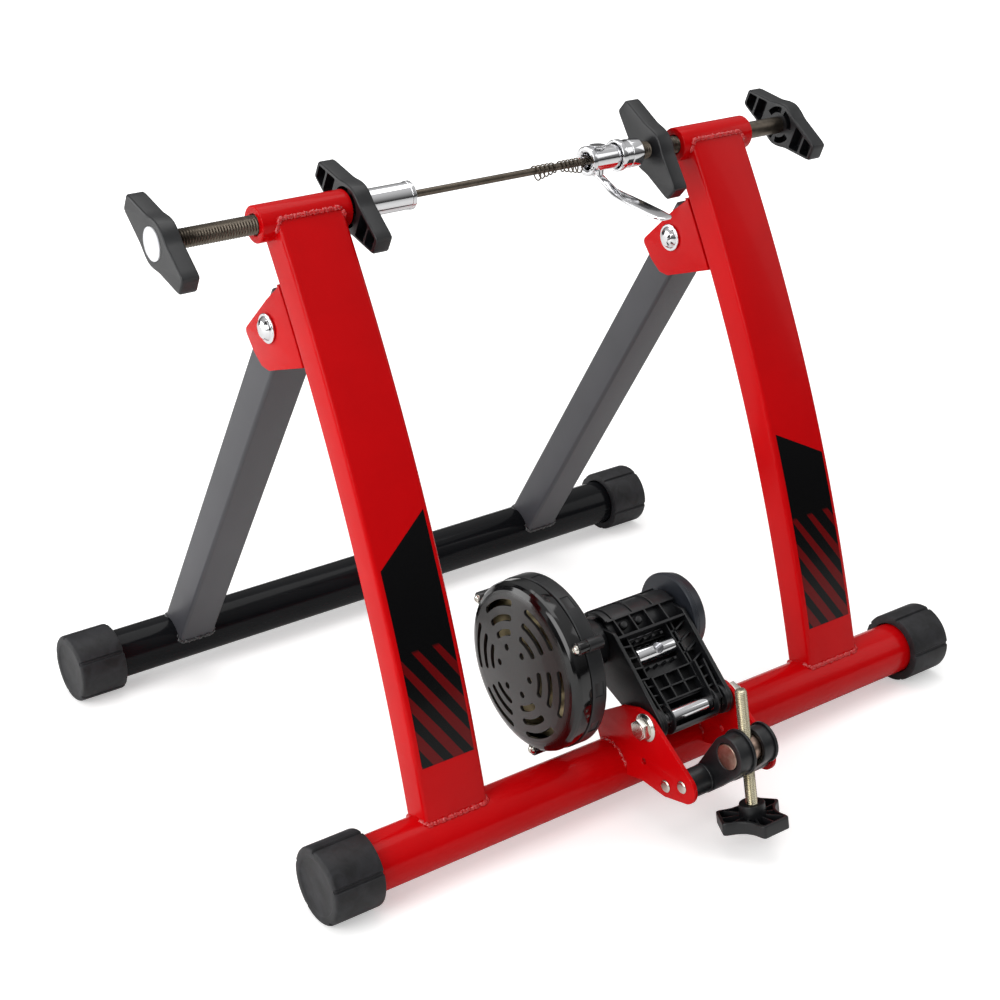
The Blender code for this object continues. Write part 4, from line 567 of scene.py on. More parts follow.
def bead(path, radius, closed=False, per_puddle=5, sides=10):
    """A ropy bead along a path: puddles 2.2 mm apart that swell and wander a little."""
    points = [Vector(point) for point in path]
    if closed:
        points.append(points[0])
    fine = []
    for first, second in zip(points, points[1:]):
        steps = max(1, round((second - first).length / 0.00045))
        fine += [first.lerp(second, step / steps) for step in range(steps)]
    if not closed:
        fine.append(points[-1])
    rows = []
    count = len(fine)
    for index, point in enumerate(fine):
        ahead = fine[(index + 1) % count] if closed or index < count - 1 else point
        back = fine[index - 1] if closed or index else point
        heading = (ahead - back).normalized()
        side = heading.cross(Vector((0.3, 0.5, 0.81))).normalized()
        rise = heading.cross(side)
        puddle = index / per_puddle
        swell = 0.82 + 0.22 * abs(math.sin(math.pi * puddle))
        swell += 0.10 * math.sin(puddle * 1.7) + 0.06 * math.sin(puddle * 4.3)
        if not closed:
            swell *= min(1.0, 0.35 + min(index, count - 1 - index) / 5)
        drift = side * (0.0003 * math.sin(puddle * 2.3)) + rise * (0.00025 * math.sin(puddle * 3.1))
        rows.append(round_line(point + drift, side, rise, radius * swell, sides))
    if closed:
        rows.append(rows[0])
    return swept(rows, not closed)


def leg_joint(middle, radius, top):
    """The line round a leg where it meets the base tube, or the sleeve at its top."""
    path = []
    for across, forward in box_outline(LEG_WIDTH, LEG_DEPTH, LEG_CORNER, 3):
        reach = math.sqrt(max(0.0, radius ** 2 - forward ** 2))
        point = leg_point(leg_length - reach if top else reach, forward)
        path.append((middle + across, point.x, point.y))
    return path


beads = []
for middle in LEG_MIDDLES:
    beads.append(bead(leg_joint(middle, TUBE_RADIUS, False), 0.0019, True))
    beads.append(bead(leg_joint(middle, SLEEVE_RADIUS, True), 0.0018, True))
piece("leg_welds", joined(*beads), FRONT, RED_WELD, "stand", "red_paint")


# Pivot brackets: folded steel cheeks behind each leg that the rear legs swing between,
# with domed chrome bolts and washers, and hexagon nuts on the far side.

def slab(outlines, low, high, edge=0.0005, axis="X", steps=2):
    """Flat outlines made solid from low to high along X, or Z, with rounded edges. An
    outline inside another is a hole."""
    curve = bpy.data.curves.new("slab", "CURVE")
    curve.dimensions = "2D"
    curve.fill_mode = "BOTH"
    curve.extrude = (high - low) / 2 - edge
    curve.bevel_depth = edge
    curve.bevel_resolution = steps
    curve.offset = -edge
    for outline in outlines:
        spline = curve.splines.new("POLY")
        spline.points.add(len(outline) - 1)
        for point, (first, second) in zip(spline.points, outline):
            point.co = (first, second, 0, 1)
        spline.use_cyclic_u = True
    drawing = bpy.data.objects.new("slab", curve)
    bpy.context.scene.collection.objects.link(drawing)
    graph = bpy.context.evaluated_depsgraph_get()
    work = bmesh.new()
    work.from_mesh(bpy.data.meshes.new_from_object(drawing.evaluated_get(graph)))
    bpy.data.objects.remove(drawing, do_unlink=True)
    work.transform(shift(0, 0, (low + high) / 2))
    if axis == "X":
        work.transform(Matrix(((0, 0, 1, 0), (1, 0, 0, 0), (0, 1, 0, 0), (0, 0, 0, 1))))
    bmesh.ops.remove_doubles(work, verts=work.verts, dist=0.000001)
    return outward(work, "slab")


def arc(centre, radius, start, end, steps):
    angles = [start + (end - start) * step / steps for step in range(steps + 1)]
    return [(centre[0] + radius * math.cos(a), centre[1] + radius * math.sin(a)) for a in angles]


def circle(centre, radius, count, start=0):
    """The corners of a circle, or with a few of them of a nut."""
    return arc(centre, radius, start, start + 2 * math.pi, count)[:-1]


def oblong(near, far, low, high):
    return [(near, low), (far, low), (far, high), (near, high)]


def hex_nut(start, turn=0):
    outlines = [circle((0, 0), 0.0075, 6, turn), circle((0, 0), 0.0043, 40)]
    return slab(outlines, start, start + 0.0065, 0.0006)


def chromed(name, colour, roughness, marks):
    """Bright nickel-chrome plate: an almost colourless mirror, softened by the turning
    or polishing marks that run under it."""
    material, tree = surface(name, colour, roughness, 1.0)
    lines = noise(tree, in_mm(tree, (1.0, 0.12, 0.12)), 3.0)
    return finish(material, Roughness=ramp(tree, lines, 0.7 * roughness, 1.5 * roughness),
                  Normal=relief(tree, lines, marks, 0.0001))


CHROME = chromed("bright_chrome_plate", "#E4E4E6", 0.08, 0.03)
ZINC = chromed("clear_zinc_plate", "#DAD7CE", 0.20, 0.15)
PIVOT = (0.154518, 0.3345)
BRACKET_REAR = ((0.0, 0.0191), (0.0325, -0.0085), (0.0225, -0.0210), (0.0125, -0.0290),
                (0.0035, -0.0300))
BRACKET_LOW, BRACKET_TALL, BRACKET_STEPS = 0.3185, 0.0479, 8
BRACKET_PLATE = 0.003
BRACKET_WIDTH = 0.037


def behind_leg(height, gap):
    """(y, z) of a point this far behind a leg's rear face."""
    radius = LEG_BEND - LEG_DEPTH / 2 - gap
    return (bend_centre.x - math.sqrt(radius ** 2 - (height - bend_centre.y) ** 2), height)


for word, middle in zip(("left", "right"), LEG_MIDDLES):
    left = middle - LEG_WIDTH / 2
    right = left + BRACKET_WIDTH
    shares = [step / BRACKET_STEPS for step in range(BRACKET_STEPS + 1)]
    front = [behind_leg(BRACKET_LOW + BRACKET_TALL * share, 0.0003) for share in shares]
    inner = [behind_leg(BRACKET_LOW + BRACKET_TALL * (1 - share), 0.0032) for share in shares]
    corners = [(y + PIVOT[0], z + PIVOT[1]) for y, z in BRACKET_REAR]
    rounded_corners = front[:-1] + eased([front[-1], *corners, front[0]], 0.004)[:-1]
    cheeks = [slab([rounded_corners], low, low + BRACKET_PLATE, 0.0005)
              for low in (left, right - BRACKET_PLATE)]
    web = slab([front + inner], left + 0.0005, right - 0.0005, 0.0003)
    piece(f"{word}_fold_bracket", joined(*cheeks, web), FRONT, RED_POWDER, "stand", "red_paint",
          f"{word}_pivot_bracket")
    face = left - 0.0003
    crown = [
        (face - 0.0058, 0.0), (face - 0.0056, 0.0030), (face - 0.0046, 0.0058),
        (face - 0.0030, 0.0073), (face - 0.0016, 0.0080), (face - 0.0016, 0.0100),
        (face, 0.0100), (face, 0.0039), (left + 0.046, 0.0039), (left + 0.046, 0.0),
    ]
    line = FRONT @ shift(0, *PIVOT)
    piece(f"{word}_dome_bolt", turned(crown, 64, 0.0005), line, CHROME, "stand", "chrome",
          f"{word}_fold_bolt")
    piece(f"{word}_hex_nut", hex_nut(right + 0.0003), line, ZINC, "stand", "zinc",
          f"{word}_fold_nut")


# Rear legs: straight rectangular steel tube in dark grey satin powder coat, drilled for
# the fold bolts and mitred onto the rear base tube.

def satin_grey_coat():
    """Satin powder coat: a dark warm grey with a fine sandy texture under 0.3 mm, drawn
    here at 0.5 mm so that it shows."""
    material, tree = surface("satin_grey_powder_coat", "#3C3C40", 0.40)
    where = in_mm(tree)
    patches = noise(tree, where, 0.02)
    return finish(material, Base_Color=blend(tree, patches, "#37373B", "#434348"),
                  Normal=relief(tree, noise(tree, where, 1.9), 0.25, 0.0002))


GREY_POWDER = satin_grey_coat()
fold_way = Vector((REAR_TUBE[1] - PIVOT[0], TUBE_HEIGHT - PIVOT[1]))
fold_lean = math.atan2(fold_way[0], -fold_way[1])
FOLD_LINE = FRONT @ shift(0, *PIVOT) @ Matrix.Rotation(fold_lean, 4, "X")
REAR_WIDTH, REAR_DEPTH, REAR_CORNER, REAR_HEAD = 0.030, 0.028, 0.0028, 0.022


def rear_foot(deep, radius):
    """How far down a rear leg meets the base tube, this far in front of its middle."""
    return -fold_way.length + math.sqrt(radius ** 2 - deep ** 2)


rear_beads = []
for word, middle in zip(("left", "right"), LEG_MIDDLES):
    centre = middle - LEG_WIDTH / 2 + BRACKET_WIDTH / 2
    outline = box_outline(REAR_WIDTH, REAR_DEPTH, REAR_CORNER)
    rows = [[(centre + across, deep, rear_foot(deep, TUBE_RADIUS - 0.0006))
             for across, deep in outline]]
    for level in (-0.30, -0.15, 0.0, REAR_HEAD - 0.0006):
        rows.append([(centre + across, deep, level) for across, deep in outline])
    rows.append([(centre + 0.97 * across, 0.97 * deep, REAR_HEAD) for across, deep in outline])
    piece(f"{word}_rear_leg", swept(rows), FOLD_LINE, GREY_POWDER, "rear_frame", "grey_paint",
          f"rear_{word}_leg")
    path = [(centre + across, deep, rear_foot(deep, TUBE_RADIUS))
            for across, deep in box_outline(REAR_WIDTH, REAR_DEPTH, REAR_CORNER, 3)]
    rear_beads.append(bead(path, 0.0017, True))
piece("rear_leg_welds", joined(*rear_beads), FOLD_LINE, BLACK_WELD, "rear_frame", "grey_paint")


# Clamp screws: two thick screws of oiled dark steel, rolled with a thread of 13 to the
# inch, which run through the sleeves. The right one has a plain turned shank outside.

def oiled_steel(name, colour, roughness):
    """Blackened, oiled steel: a brown-grey metal with worn thread tops and a film of oil
    that varies over a few millimetres."""
    material, tree = surface(name, colour, roughness, 1.0)
    film = noise(tree, in_mm(tree), 0.25, 4.0)
    return finish(material, Base_Color=blend(tree, film, colour, "#7B7267"),
                  Roughness=ramp(tree, film, 0.8 * roughness, 1.3 * roughness))


DARK_STEEL = oiled_steel("oiled_black_steel", "#4A443C", 0.36)
SCREW_RADIUS = 0.00635
SCREW_PITCH = 0.001954


def threaded(low, high, radius, pitch, depth, taper=0.0, per_turn=6, sides=36):
    """A solid screw along X with a rounded helical thread."""
    work = bmesh.new()
    steps = round((high - low) / pitch * per_turn)
    rows = [[work.verts.new((low, 0, 0))]]
    for step in range(steps + 1):
        along = low + (high - low) * step / steps
        end = min(1.0, 0.72 + (high - along) / taper * 0.28) if taper else 1.0

        def reach(angle):
            wave = 0.5 - 0.5 * math.cos(2 * math.pi * along / pitch - angle)
            return (radius - depth * wave) * end

        rows.append(hoop(work, along, reach, sides))
    rows.append([work.verts.new((high, 0, 0))])
    return lofted(work, rows, "threaded")


shank_start = SLEEVE_ENDS[1][1] - 0.004
piece("left_screw", threaded(-0.2720, -0.1278, SCREW_RADIUS, SCREW_PITCH, 0.0009), AXLE_LINE,
      DARK_STEEL, "left_hand_knob", "dark_steel", "left_clamp_screw")
screw = threaded(0.1011, shank_start, SCREW_RADIUS, SCREW_PITCH, 0.0009)
piece("right_screw", joined(screw, rod(shank_start, 0.2475, 0.0062)), AXLE_LINE,
      DARK_STEEL, "right_hand_knob", "dark_steel", "right_clamp_screw")


# Wing knobs: four moulded knobs of black glass-filled nylon with a closed face and cored
# backs. The outer pair turn the screws, and the inner pair lock them.

def black_nylon(name, colour, sheen, roughness):
    """Glass-filled nylon: a slightly greyed black with the fine spark-eroded grain of
    its mould, 0.3 mm across and drawn at 0.5 mm."""
    material, tree = surface(name, colour, roughness)
    where = in_mm(tree)
    flow = noise(tree, where, 0.06, 3.0, Distortion=0.8)
    return finish(material, Base_Color=blend(tree, flow, colour, sheen),
                  Roughness=ramp(tree, flow, 0.85 * roughness, 1.2 * roughness),
                  Normal=relief(tree, noise(tree, where, 2.0), 0.14, 0.0002))


NYLON = black_nylon("black_glass_filled_nylon", "#0C0D0F", "#17181B", 0.36)


def carved(mesh, *cutters):
    """The mesh with these others cut out of it."""
    scene = bpy.context.scene.collection
    made = []
    for part in (mesh, joined(*cutters)):
        obj = bpy.data.objects.new("carving", part)
        scene.objects.link(obj)
        made.append(obj)
    cut = made[0].modifiers.new("cut", "BOOLEAN")
    cut.operation = "DIFFERENCE"
    cut.solver = "EXACT"
    cut.use_self = True
    cut.object = made[1]
    graph = bpy.context.evaluated_depsgraph_get()
    result = bpy.data.meshes.new_from_object(made[0].evaluated_get(graph))
    for obj in made:
        bpy.data.objects.remove(obj, do_unlink=True)
    return result


def soft_most(first, second, blend):
    """The larger of two, blended where they are about as large."""
    share = max(0.0, min(1.0, 0.5 + 0.5 * (first - second) / blend))
    return second + (first - second) * share + blend * share * (1 - share)


WING_ROOT, WING_TIP, WING_TAPER, WING_HUB = 0.0151, 0.0390, 0.222, 0.0158
WING_WALL = 0.0022


def wing_reach(angle):
    """How far a wing knob reaches this way from its middle, on its wings' line at 0."""
    away = abs((angle + math.pi / 2) % math.pi - math.pi / 2)
    side = WING_ROOT / (math.sin(away) + WING_TAPER * math.cos(away))
    tip = WING_TIP / math.cos(away) if away < 1.5 else 1.0
    return soft_most(-soft_most(-side, -tip, 0.004), WING_HUB, 0.0035)


def twist(points, angle):
    """Points turned about the middle."""
    cos, sin = math.cos(angle), math.sin(angle)
    return [(y * cos - z * sin, y * sin + z * cos) for y, z in points]


def wing_knob(face, side, turn, bore, boss=0.0):
    """A knob from its closed face, with two pockets in each wing and four round its hub.
    A narrow bore stops inside, a wide one goes through, and a boss leaves it closed."""
    rim = face + side * 0.0122
    body = slab([twist(polar(wing_reach, 160), turn)], *sorted((face, rim)), 0.0014, "X", 4)
    cuts = []
    low, high = sorted((face + side * 0.003, rim + side * 0.003))
    for start in (0, math.pi):
        outlines = []
        for near, far in ((0.0170, 0.0262), (0.0280, 0.0364)):
            wide, narrow = (WING_ROOT - WING_TAPER * reach - WING_WALL for reach in (near, far))
            corners = [(near, -wide), (far, -narrow), (far, narrow), (near, wide)]
            outlines.append(eased(corners, 0.0011, True))
        for first, last in ((0.28, 1.42), (1.72, 2.86)):
            outline = arc((0, 0), 0.0136, first, last, 10) + arc((0, 0), 0.0092, last, first, 10)
            outlines.append(eased(outline, 0.0006, True))
        cuts += [slab([twist(outline, turn + start)], low, high, 0.0001) for outline in outlines]
    body = carved(body, *cuts)
    if boss:
        return joined(body, pipe(rim - side * 0.004, rim + side * boss, 0.0086, bore, 64, 0.0006))
    start = 0.0035 if bore < 0.0066 else -0.003
    hole = rod(*sorted((face + side * start, rim + side * 0.003)), bore, 48, 0)
    return carved(body, hole)


def disc_label():
    """A pressed aluminium disc with a pearl lacquer: pale, barely rough, faintly brushed."""
    material, tree = surface("pearl_lacquered_disc", "#D9DADD", 0.34, Coat_Weight=0.3)
    brush = noise(tree, in_mm(tree, (1.0, 0.1, 1.0)), 2.5)
    return finish(material, Base_Color=blend(tree, brush, "#D2D3D7", "#E6E7E9"))


DISC = disc_label()
for word, face, side, turn in (("left", -0.2751, 1, 30.5), ("right", 0.2508, -1, 24)):
    knob = wing_knob(face, side, math.radians(turn), 0.0062)
    floor = face + side * 0.0007
    seat = rod(face - side * 0.002, floor, 0.0111, 72, 0)
    piece(f"{word}_wing_knob", carved(knob, seat), AXLE_LINE, NYLON, f"{word}_hand_knob", "nylon",
          f"{word}_hand_knob")
    disc = rod(face - side * 0.0007, floor - side * 0.0001, 0.01075, 72, 0.0003)
    piece(f"{word}_pearl_disc", disc, AXLE_LINE, DISC, f"{word}_hand_knob", "disc_label",
          f"{word}_knob_disc")
piece("left_inner_knob", wing_knob(-0.1278, -1, math.radians(29.5), 0.0067), AXLE_LINE, NYLON,
      "left_lock_knob", "nylon", "left_lock_knob")
piece("right_inner_knob", wing_knob(0.1102, 1, math.radians(45), 0.0067, 0.0068), AXLE_LINE, NYLON,
      "right_lock_knob", "nylon", "right_lock_knob")


# Axle cups: two turned steel cups with flanged mouths, chrome plated, that grip the ends
# of the bicycle's axle.

left_cup = [
    (-0.1275, 0), (-0.1275, 0.0091), (-0.0935, 0.0091), (-0.0935, 0.0096), (-0.0905, 0.0096),
    (-0.0905, 0.0080), (-0.0912, 0.0074), (-0.1135, 0.0074), (-0.1135, 0),
]
right_cup = [
    (0.1008, 0), (0.1008, 0.0102), (0.0920, 0.0102), (0.0917, 0.0098), (0.0913, 0.0098),
    (0.0910, 0.0102), (0.0857, 0.0102), (0.0857, 0.0112), (0.0812, 0.0112), (0.0812, 0.0096),
    (0.0819, 0.0089), (0.0978, 0.0089), (0.0978, 0),
]
for word, cup in (("left", left_cup), ("right", right_cup)):
    piece(f"{word}_cup", turned(cup, 96, 0.0005), AXLE_LINE, CHROME, f"{word}_clamp", "chrome",
          f"{word}_axle_cup")


# Quick-release skewer: a dark steel rod through the hub's place, with a chrome nut, a
# turned chrome housing, a cam pin with a knurled head and a forged lever.

piece("rod", rod(-0.1049, 0.0611, 0.0025, 48), AXLE_LINE, DARK_STEEL, "skewer", "dark_steel",
      "skewer_rod")
piece("rod_nut", pipe(-0.1052, -0.0952, 0.0070, 0.0027, 64, 0.0006), AXLE_LINE, CHROME, "skewer",
      "chrome", "skewer_nut")
housing = [
    (0.0920, 0), (0.0920, 0.0080), (0.0895, 0.0083), (0.0592, 0.0083), (0.0590, 0.0104),
    (0.0554, 0.0104), (0.0554, 0.0076), (0.0562, 0.00625), (0.0780, 0.00625), (0.0780, 0),
]
CAM = shift(0.066, 0, 0)
cam_way = moved(rod(-0.016, 0.016, 0.0049, 48, 0), CAM @ Matrix.Rotation(math.pi / 2, 4, "Y"))
piece("cam_housing", carved(turned(housing, 96, 0.0005), cam_way), AXLE_LINE, CHROME, "skewer",
      "chrome", "skewer_housing")


def knurled(low, high, radius, teeth=30, depth=0.0005):
    """A short drum with straight knurls, round Z."""
    outline = []
    for k in range(teeth):
        for share, dip in ((0.0, 0), (0.30, 0), (0.5, depth), (0.8, depth)):
            angle = 2 * math.pi * (k + share) / teeth
            outline.append(((radius - dip) * math.cos(angle), (radius - dip) * math.sin(angle)))
    return slab([outline], low, high, 0.0003, "Z")


upright = Matrix.Rotation(-math.pi / 2, 4, "Y")
pin = moved(rod(-0.0105, 0.0082, 0.0046, 48), upright)
root = -0.0095
handle = (
    (0.0030, -0.0012, 0.0028, 0.0016), (-0.0010, -0.0016, 0.0028, 0.0018),
    (-0.0050, -0.0030, 0.0028, 0.0019), (-0.0115, -0.0066, 0.0030, 0.0020),
    (-0.0170, -0.0095, 0.0036, 0.0019), (-0.0230, -0.0109, 0.0048, 0.0017),
    (-0.0330, -0.0124, 0.0060, 0.0015), (-0.0450, -0.0141, 0.0067, 0.0015),
    (-0.0620, -0.0165, 0.0070, 0.0015), (-0.0715, -0.0178, 0.0064, 0.0014),
    (-0.0740, -0.0181, 0.0052, 0.0012), (-0.0750, -0.0182, 0.0032, 0.0007),
)
rows = []
for index, (forward, up, wide, thick) in enumerate(handle):
    back, ahead = handle[max(0, index - 1)], handle[min(len(handle) - 1, index + 1)]
    heading = Vector((ahead[0] - back[0], ahead[1] - back[1])).normalized()
    normal = Vector((-heading[1], heading[0]))
    row = []
    for k in range(24):
        angle = 2 * math.pi * k / 24
        across = wide * math.copysign(abs(math.cos(angle)) ** 0.6, math.cos(angle))
        deep = thick * math.copysign(abs(math.sin(angle)) ** 0.6, math.sin(angle))
        row.append((across, forward + normal[0] * deep, root + up + normal[1] * deep))
    rows.append(row)
lever = joined(pin, knurled(0.0080, 0.0101, 0.0058), swept(rows))
piece("cam_lever", lever, AXLE_LINE @ CAM, CHROME, "skewer_lever", "chrome", "skewer_lever")


# Skewer springs: two cone springs of drawn steel wire that hang loose on the rod and
# keep the skewer centred.

def cone_spring(start, wide_at_start):
    """Five turns of 1 mm wire that hang with their top on the rod."""
    narrow, widest, length, turns, around = 0.0033, 0.0052, 0.018, 5, 28
    path = []
    for step in range(turns * around + 1):
        share = step / (turns * around)
        reach = narrow + (widest - narrow) * (1 - share if wide_at_start else share)
        angle = 2 * math.pi * step / around
        drop = reach - narrow
        path.append(Vector((start + length * share, reach * math.cos(angle),
                            reach * math.sin(angle) - drop)))
    rows = []
    for index, point in enumerate(path):
        heading = (path[min(index + 1, len(path) - 1)] - path[max(index - 1, 0)]).normalized()
        side = heading.cross(Vector((1, 0, 0))).normalized()
        rows.append(round_line(point, side, heading.cross(side), 0.0005, 8))
    return swept(rows)


for word, start, wide_first in (("left", 0.011, True), ("right", 0.0325, False)):
    piece(f"{word}_cone_spring", cone_spring(start, wide_first), AXLE_LINE, DARK_STEEL, "skewer",
          "dark_steel", f"skewer_spring_{word}")


# Unit plates: two laser-cut plates of 3 mm steel, welded on the front tube and painted
# with it. A stay and the link's pin are riveted between them.

PLATE_OUTLINE = (
    (0.0080, 0.0650), (-0.0124, 0.0780), (-0.0286, 0.0832), (-0.0376, 0.0830), (-0.0434, 0.0810),
    *arc((-0.0762, 0.0445), 0.0110, math.radians(128), math.radians(262), 14),
    (-0.0575, 0.0290), (-0.0339, 0.0304), (-0.0130, 0.0260), (0.0080, 0.0360), (0.0150, 0.0520),
)
UNIT_X, UNIT_HALF, PLATE = -0.003, 0.0335, 0.003
for word, low in (("left", UNIT_X - UNIT_HALF - PLATE), ("right", UNIT_X + UNIT_HALF)):
    hole = circle((-0.0360, 0.0459), 0.00225, 24)
    plate = slab([eased(PLATE_OUTLINE, 0.006, True), hole], low, low + PLATE, 0.0004)
    saddle = rod(low - 0.01, low + 0.013, 0.0191, 96, 0)
    plate = carved(plate, moved(saddle, shift(0, 0, TUBE_HEIGHT)))
    piece(f"{word}_side_plate", plate, FRONT, RED_POWDER, "stand", "red_paint", f"{word}_unit_plate")
paths = []
for away in (-UNIT_HALF - PLATE, -UNIT_HALF, UNIT_HALF, UNIT_HALF + PLATE):
    seam = arc((0, TUBE_HEIGHT), TUBE_RADIUS + 0.0003, math.radians(62), math.radians(158), 16)
    paths.append(bead([(UNIT_X + away, y, z) for y, z in seam], 0.0015))
piece("plate_welds", joined(*paths), FRONT, RED_WELD, "stand", "red_paint")


def riveted_pin(radius):
    """A shouldered pin with a domed rivet head outside each plate."""
    half = [
        (0.0332, radius), (0.0332, 0.0030), (0.0367, 0.0030), (0.0367, 0.0044), (0.0372, 0.0044),
        (0.0377, 0.0037), (0.0380, 0.0024), (0.0381, 0),
    ]
    return turned([(-along, reach) for along, reach in reversed(half)] + half, 48, 0.0003)


LINK = FRONT @ shift(UNIT_X, -0.0750, 0.0450)
piece("stay_pin", riveted_pin(0.0050), FRONT @ shift(UNIT_X, -0.0590, 0.0380), ZINC, "stand",
      "zinc", "unit_stay_pin")
piece("hinge_pin", riveted_pin(0.0042), LINK, ZINC, "stand", "zinc", "link_pivot_pin")

ARM_PIVOT = FRONT @ shift(UNIT_X, -0.0380, 0.0730)
FLAT_TURN = 0.3
head = slab([circle((0, 0), 0.0075, 6, FLAT_TURN)], -0.0438, -0.0378, 0.0007, "X", 3)
flange = turned([
    (-0.0388, 0), (-0.0388, 0.0080), (-0.0374, 0.0098), (-0.0368, 0.0100), (-0.0368, 0.0039),
    (0.0463, 0.0039), (0.0463, 0),
], 72, 0.0003)
crown = turned([(-0.0440, 0), (-0.0440, 0.0052), (-0.0432, 0.0060), (-0.0430, 0)], 48, 0.0002)
piece("flanged_bolt", joined(head, flange, crown), ARM_PIVOT, ZINC, "stand", "zinc",
      "arm_pivot_bolt")
piece("flanged_bolt_nut", hex_nut(0.0368, FLAT_TURN), ARM_PIVOT, ZINC, "stand", "zinc",
      "arm_pivot_nut")
piece("spacer", pipe(-0.0332, 0.0332, 0.0055, 0.0043, 64, 0.0002), ARM_PIVOT, CHROME, "stand",
      "chrome", "arm_spacer_tube")


# Swinging arm: one moulding of black glass-filled nylon, with two cheeks, a front of thin
# ribs, a saddle for the barrel nut and a panelled hood over the roller.

ARM = ARM_PIVOT @ Matrix.Rotation(math.radians(-47.56), 4, "X")
ROLLER_AT = (0.0125, 0.0699)
NUT_AT = (0.0005, 0.0465)
ROLLER = ARM @ shift(0, *ROLLER_AT)


def ribs(lines, width, front, back):
    """Thin walls that stand on the arm's front, along (x, z) lines."""
    work = bmesh.new()
    for (x1, z1), (x2, z2) in lines:
        place = shift((x1 + x2) / 2, (front + back) / 2, (z1 + z2) / 2)
        turn = Matrix.Rotation(-math.atan2(z2 - z1, x2 - x1), 4, "Y")
        size = Matrix.Diagonal((math.hypot(x2 - x1, z2 - z1), back - front, width, 1))
        bmesh.ops.create_cube(work, size=1, matrix=place @ turn @ size)
    bmesh.ops.bevel(work, geom=work.edges[:], offset=0.00018, segments=1, affect="EDGES")
    mesh = bpy.data.meshes.new("ribs")
    work.to_mesh(mesh)
    work.free()
    return mesh


def hood(inner, outer, start, end, low=-0.0295, high=0.0295):
    """A curved wall round the roller's line, from one angle in degrees to another."""
    start, end = math.radians(start), math.radians(end)
    steps = max(2, round((end - start) / 0.07))
    out, back = arc(ROLLER_AT, outer, start, end, steps), arc(ROLLER_AT, inner, end, start, steps)
    return slab([out + back], low, high, 0.0003)


def arm_body():
    """The two cheeks, the cross walls between them, and the bearing collars."""
    rear = [(0.0202, 0.0242), (0.0255, 0.0397), (0.0300, 0.0619), (0.0275, 0.0819), (0.0158, 0.0899)]
    side = arc((0, 0), 0.011, math.pi, 2 * math.pi - 0.4, 16)
    side += eased([*rear, (-0.0108, 0.0645), (-0.0110, 0.030)], 0.004)
    outlines = [side, circle(ROLLER_AT, 0.0113, 48), circle((0, 0), 0.0058, 32)]
    parts = [slab(outlines, low, low + 0.003, 0.0007, "X", 3) for low in (-0.032, 0.029)]
    for low, high in ((0.0095, 0.0385), (0.0545, 0.0610)):
        parts.append(slab([oblong(0.0020, 0.0045, low, high)], -0.0295, 0.0295, 0.0002))
    parts.append(slab([oblong(0.0082, 0.0118, 0.0370, 0.0560)], -0.0220, 0.0220, 0.0003))
    for low, high in ((-0.0295, -0.0262), (-0.0200, -0.0187), (0.0187, 0.0200), (0.0262, 0.0295)):
        parts.append(pipe(low, high, 0.0106, 0.0058, 64, 0.0004))
    start, end = math.radians(100), math.radians(-112)
    trough = arc((0, 0), 0.0106, start, end, 28) + arc((0, 0), 0.0086, end, start, 28)
    parts.append(slab([trough], -0.0189, 0.0189, 0.0003))
    for half in (-1, 1):
        boss = pipe(half * 0.0242, half * 0.0316, 0.0140, 0.0113, 72, 0.0003)
        parts.append(moved(boss, shift(0, *ROLLER_AT)))
    return parts


def arm_front():
    """The grid of thin ribs on the front, which stiffens the arm at little weight."""
    deep = [((-x, z), (x, z)) for x, z in ((0.0180, 0.0100), (0.0180, 0.0190), (0.0196, 0.0285))]
    deep += [((x, 0.0100), (x, 0.0285)) for x in (-0.0175, -0.0058, 0.0058, 0.0175)]
    deep += [((half * 0.0192, 0.0285), (half * 0.0192, 0.0605)) for half in (-1, 1)]
    deep.append(((0.0152, 0.0602), (0.0166, 0.0285)))
    deep += [((0.0158, level), (0.0192, level)) for level in (0.0370, 0.0450, 0.0536)]
    nubs = [((x, z - 0.0009), (x, z + 0.0009)) for x in (-0.0130, -0.0057, 0.0016, 0.0089)
            for z in (0.0360, 0.0560)]
    walls = [((half * 0.0190, 0.0375), (half * 0.0190, 0.0555)) for half in (-1, 1)]
    frames, rails = [], []
    for half, climb in ((-1, 0.0012), (1, 0.0042)):
        for start, rise, levels in ((0.0192, climb, (0.0285, 0.0370, 0.0450, 0.0536)),
                                    (0.0186, 0.0015, (0.0085, 0.0155, 0.0225))):
            frames += [((half * start, z), (half * 0.0292, z + rise)) for z in levels]
        rails.append(((half * 0.0192, 0.0285), (half * 0.0183, -0.0010)))
        rails.append(((half * 0.0264, 0.0275), (half * 0.0246, -0.0020)))
    shelf = [((-0.0292, 0.0608), (0.0292, 0.0608))]
    return [
        ribs(deep, 0.0013, -0.0050, 0.0025), ribs(nubs, 0.0022, -0.0046, 0.0025),
        ribs(walls, 0.0014, 0.0020, 0.0100), ribs(frames, 0.0013, -0.0066, 0.0025),
        ribs(rails, 0.0014, -0.0088, 0.0010), ribs(shelf, 0.0019, -0.0105, 0.0030),
    ]


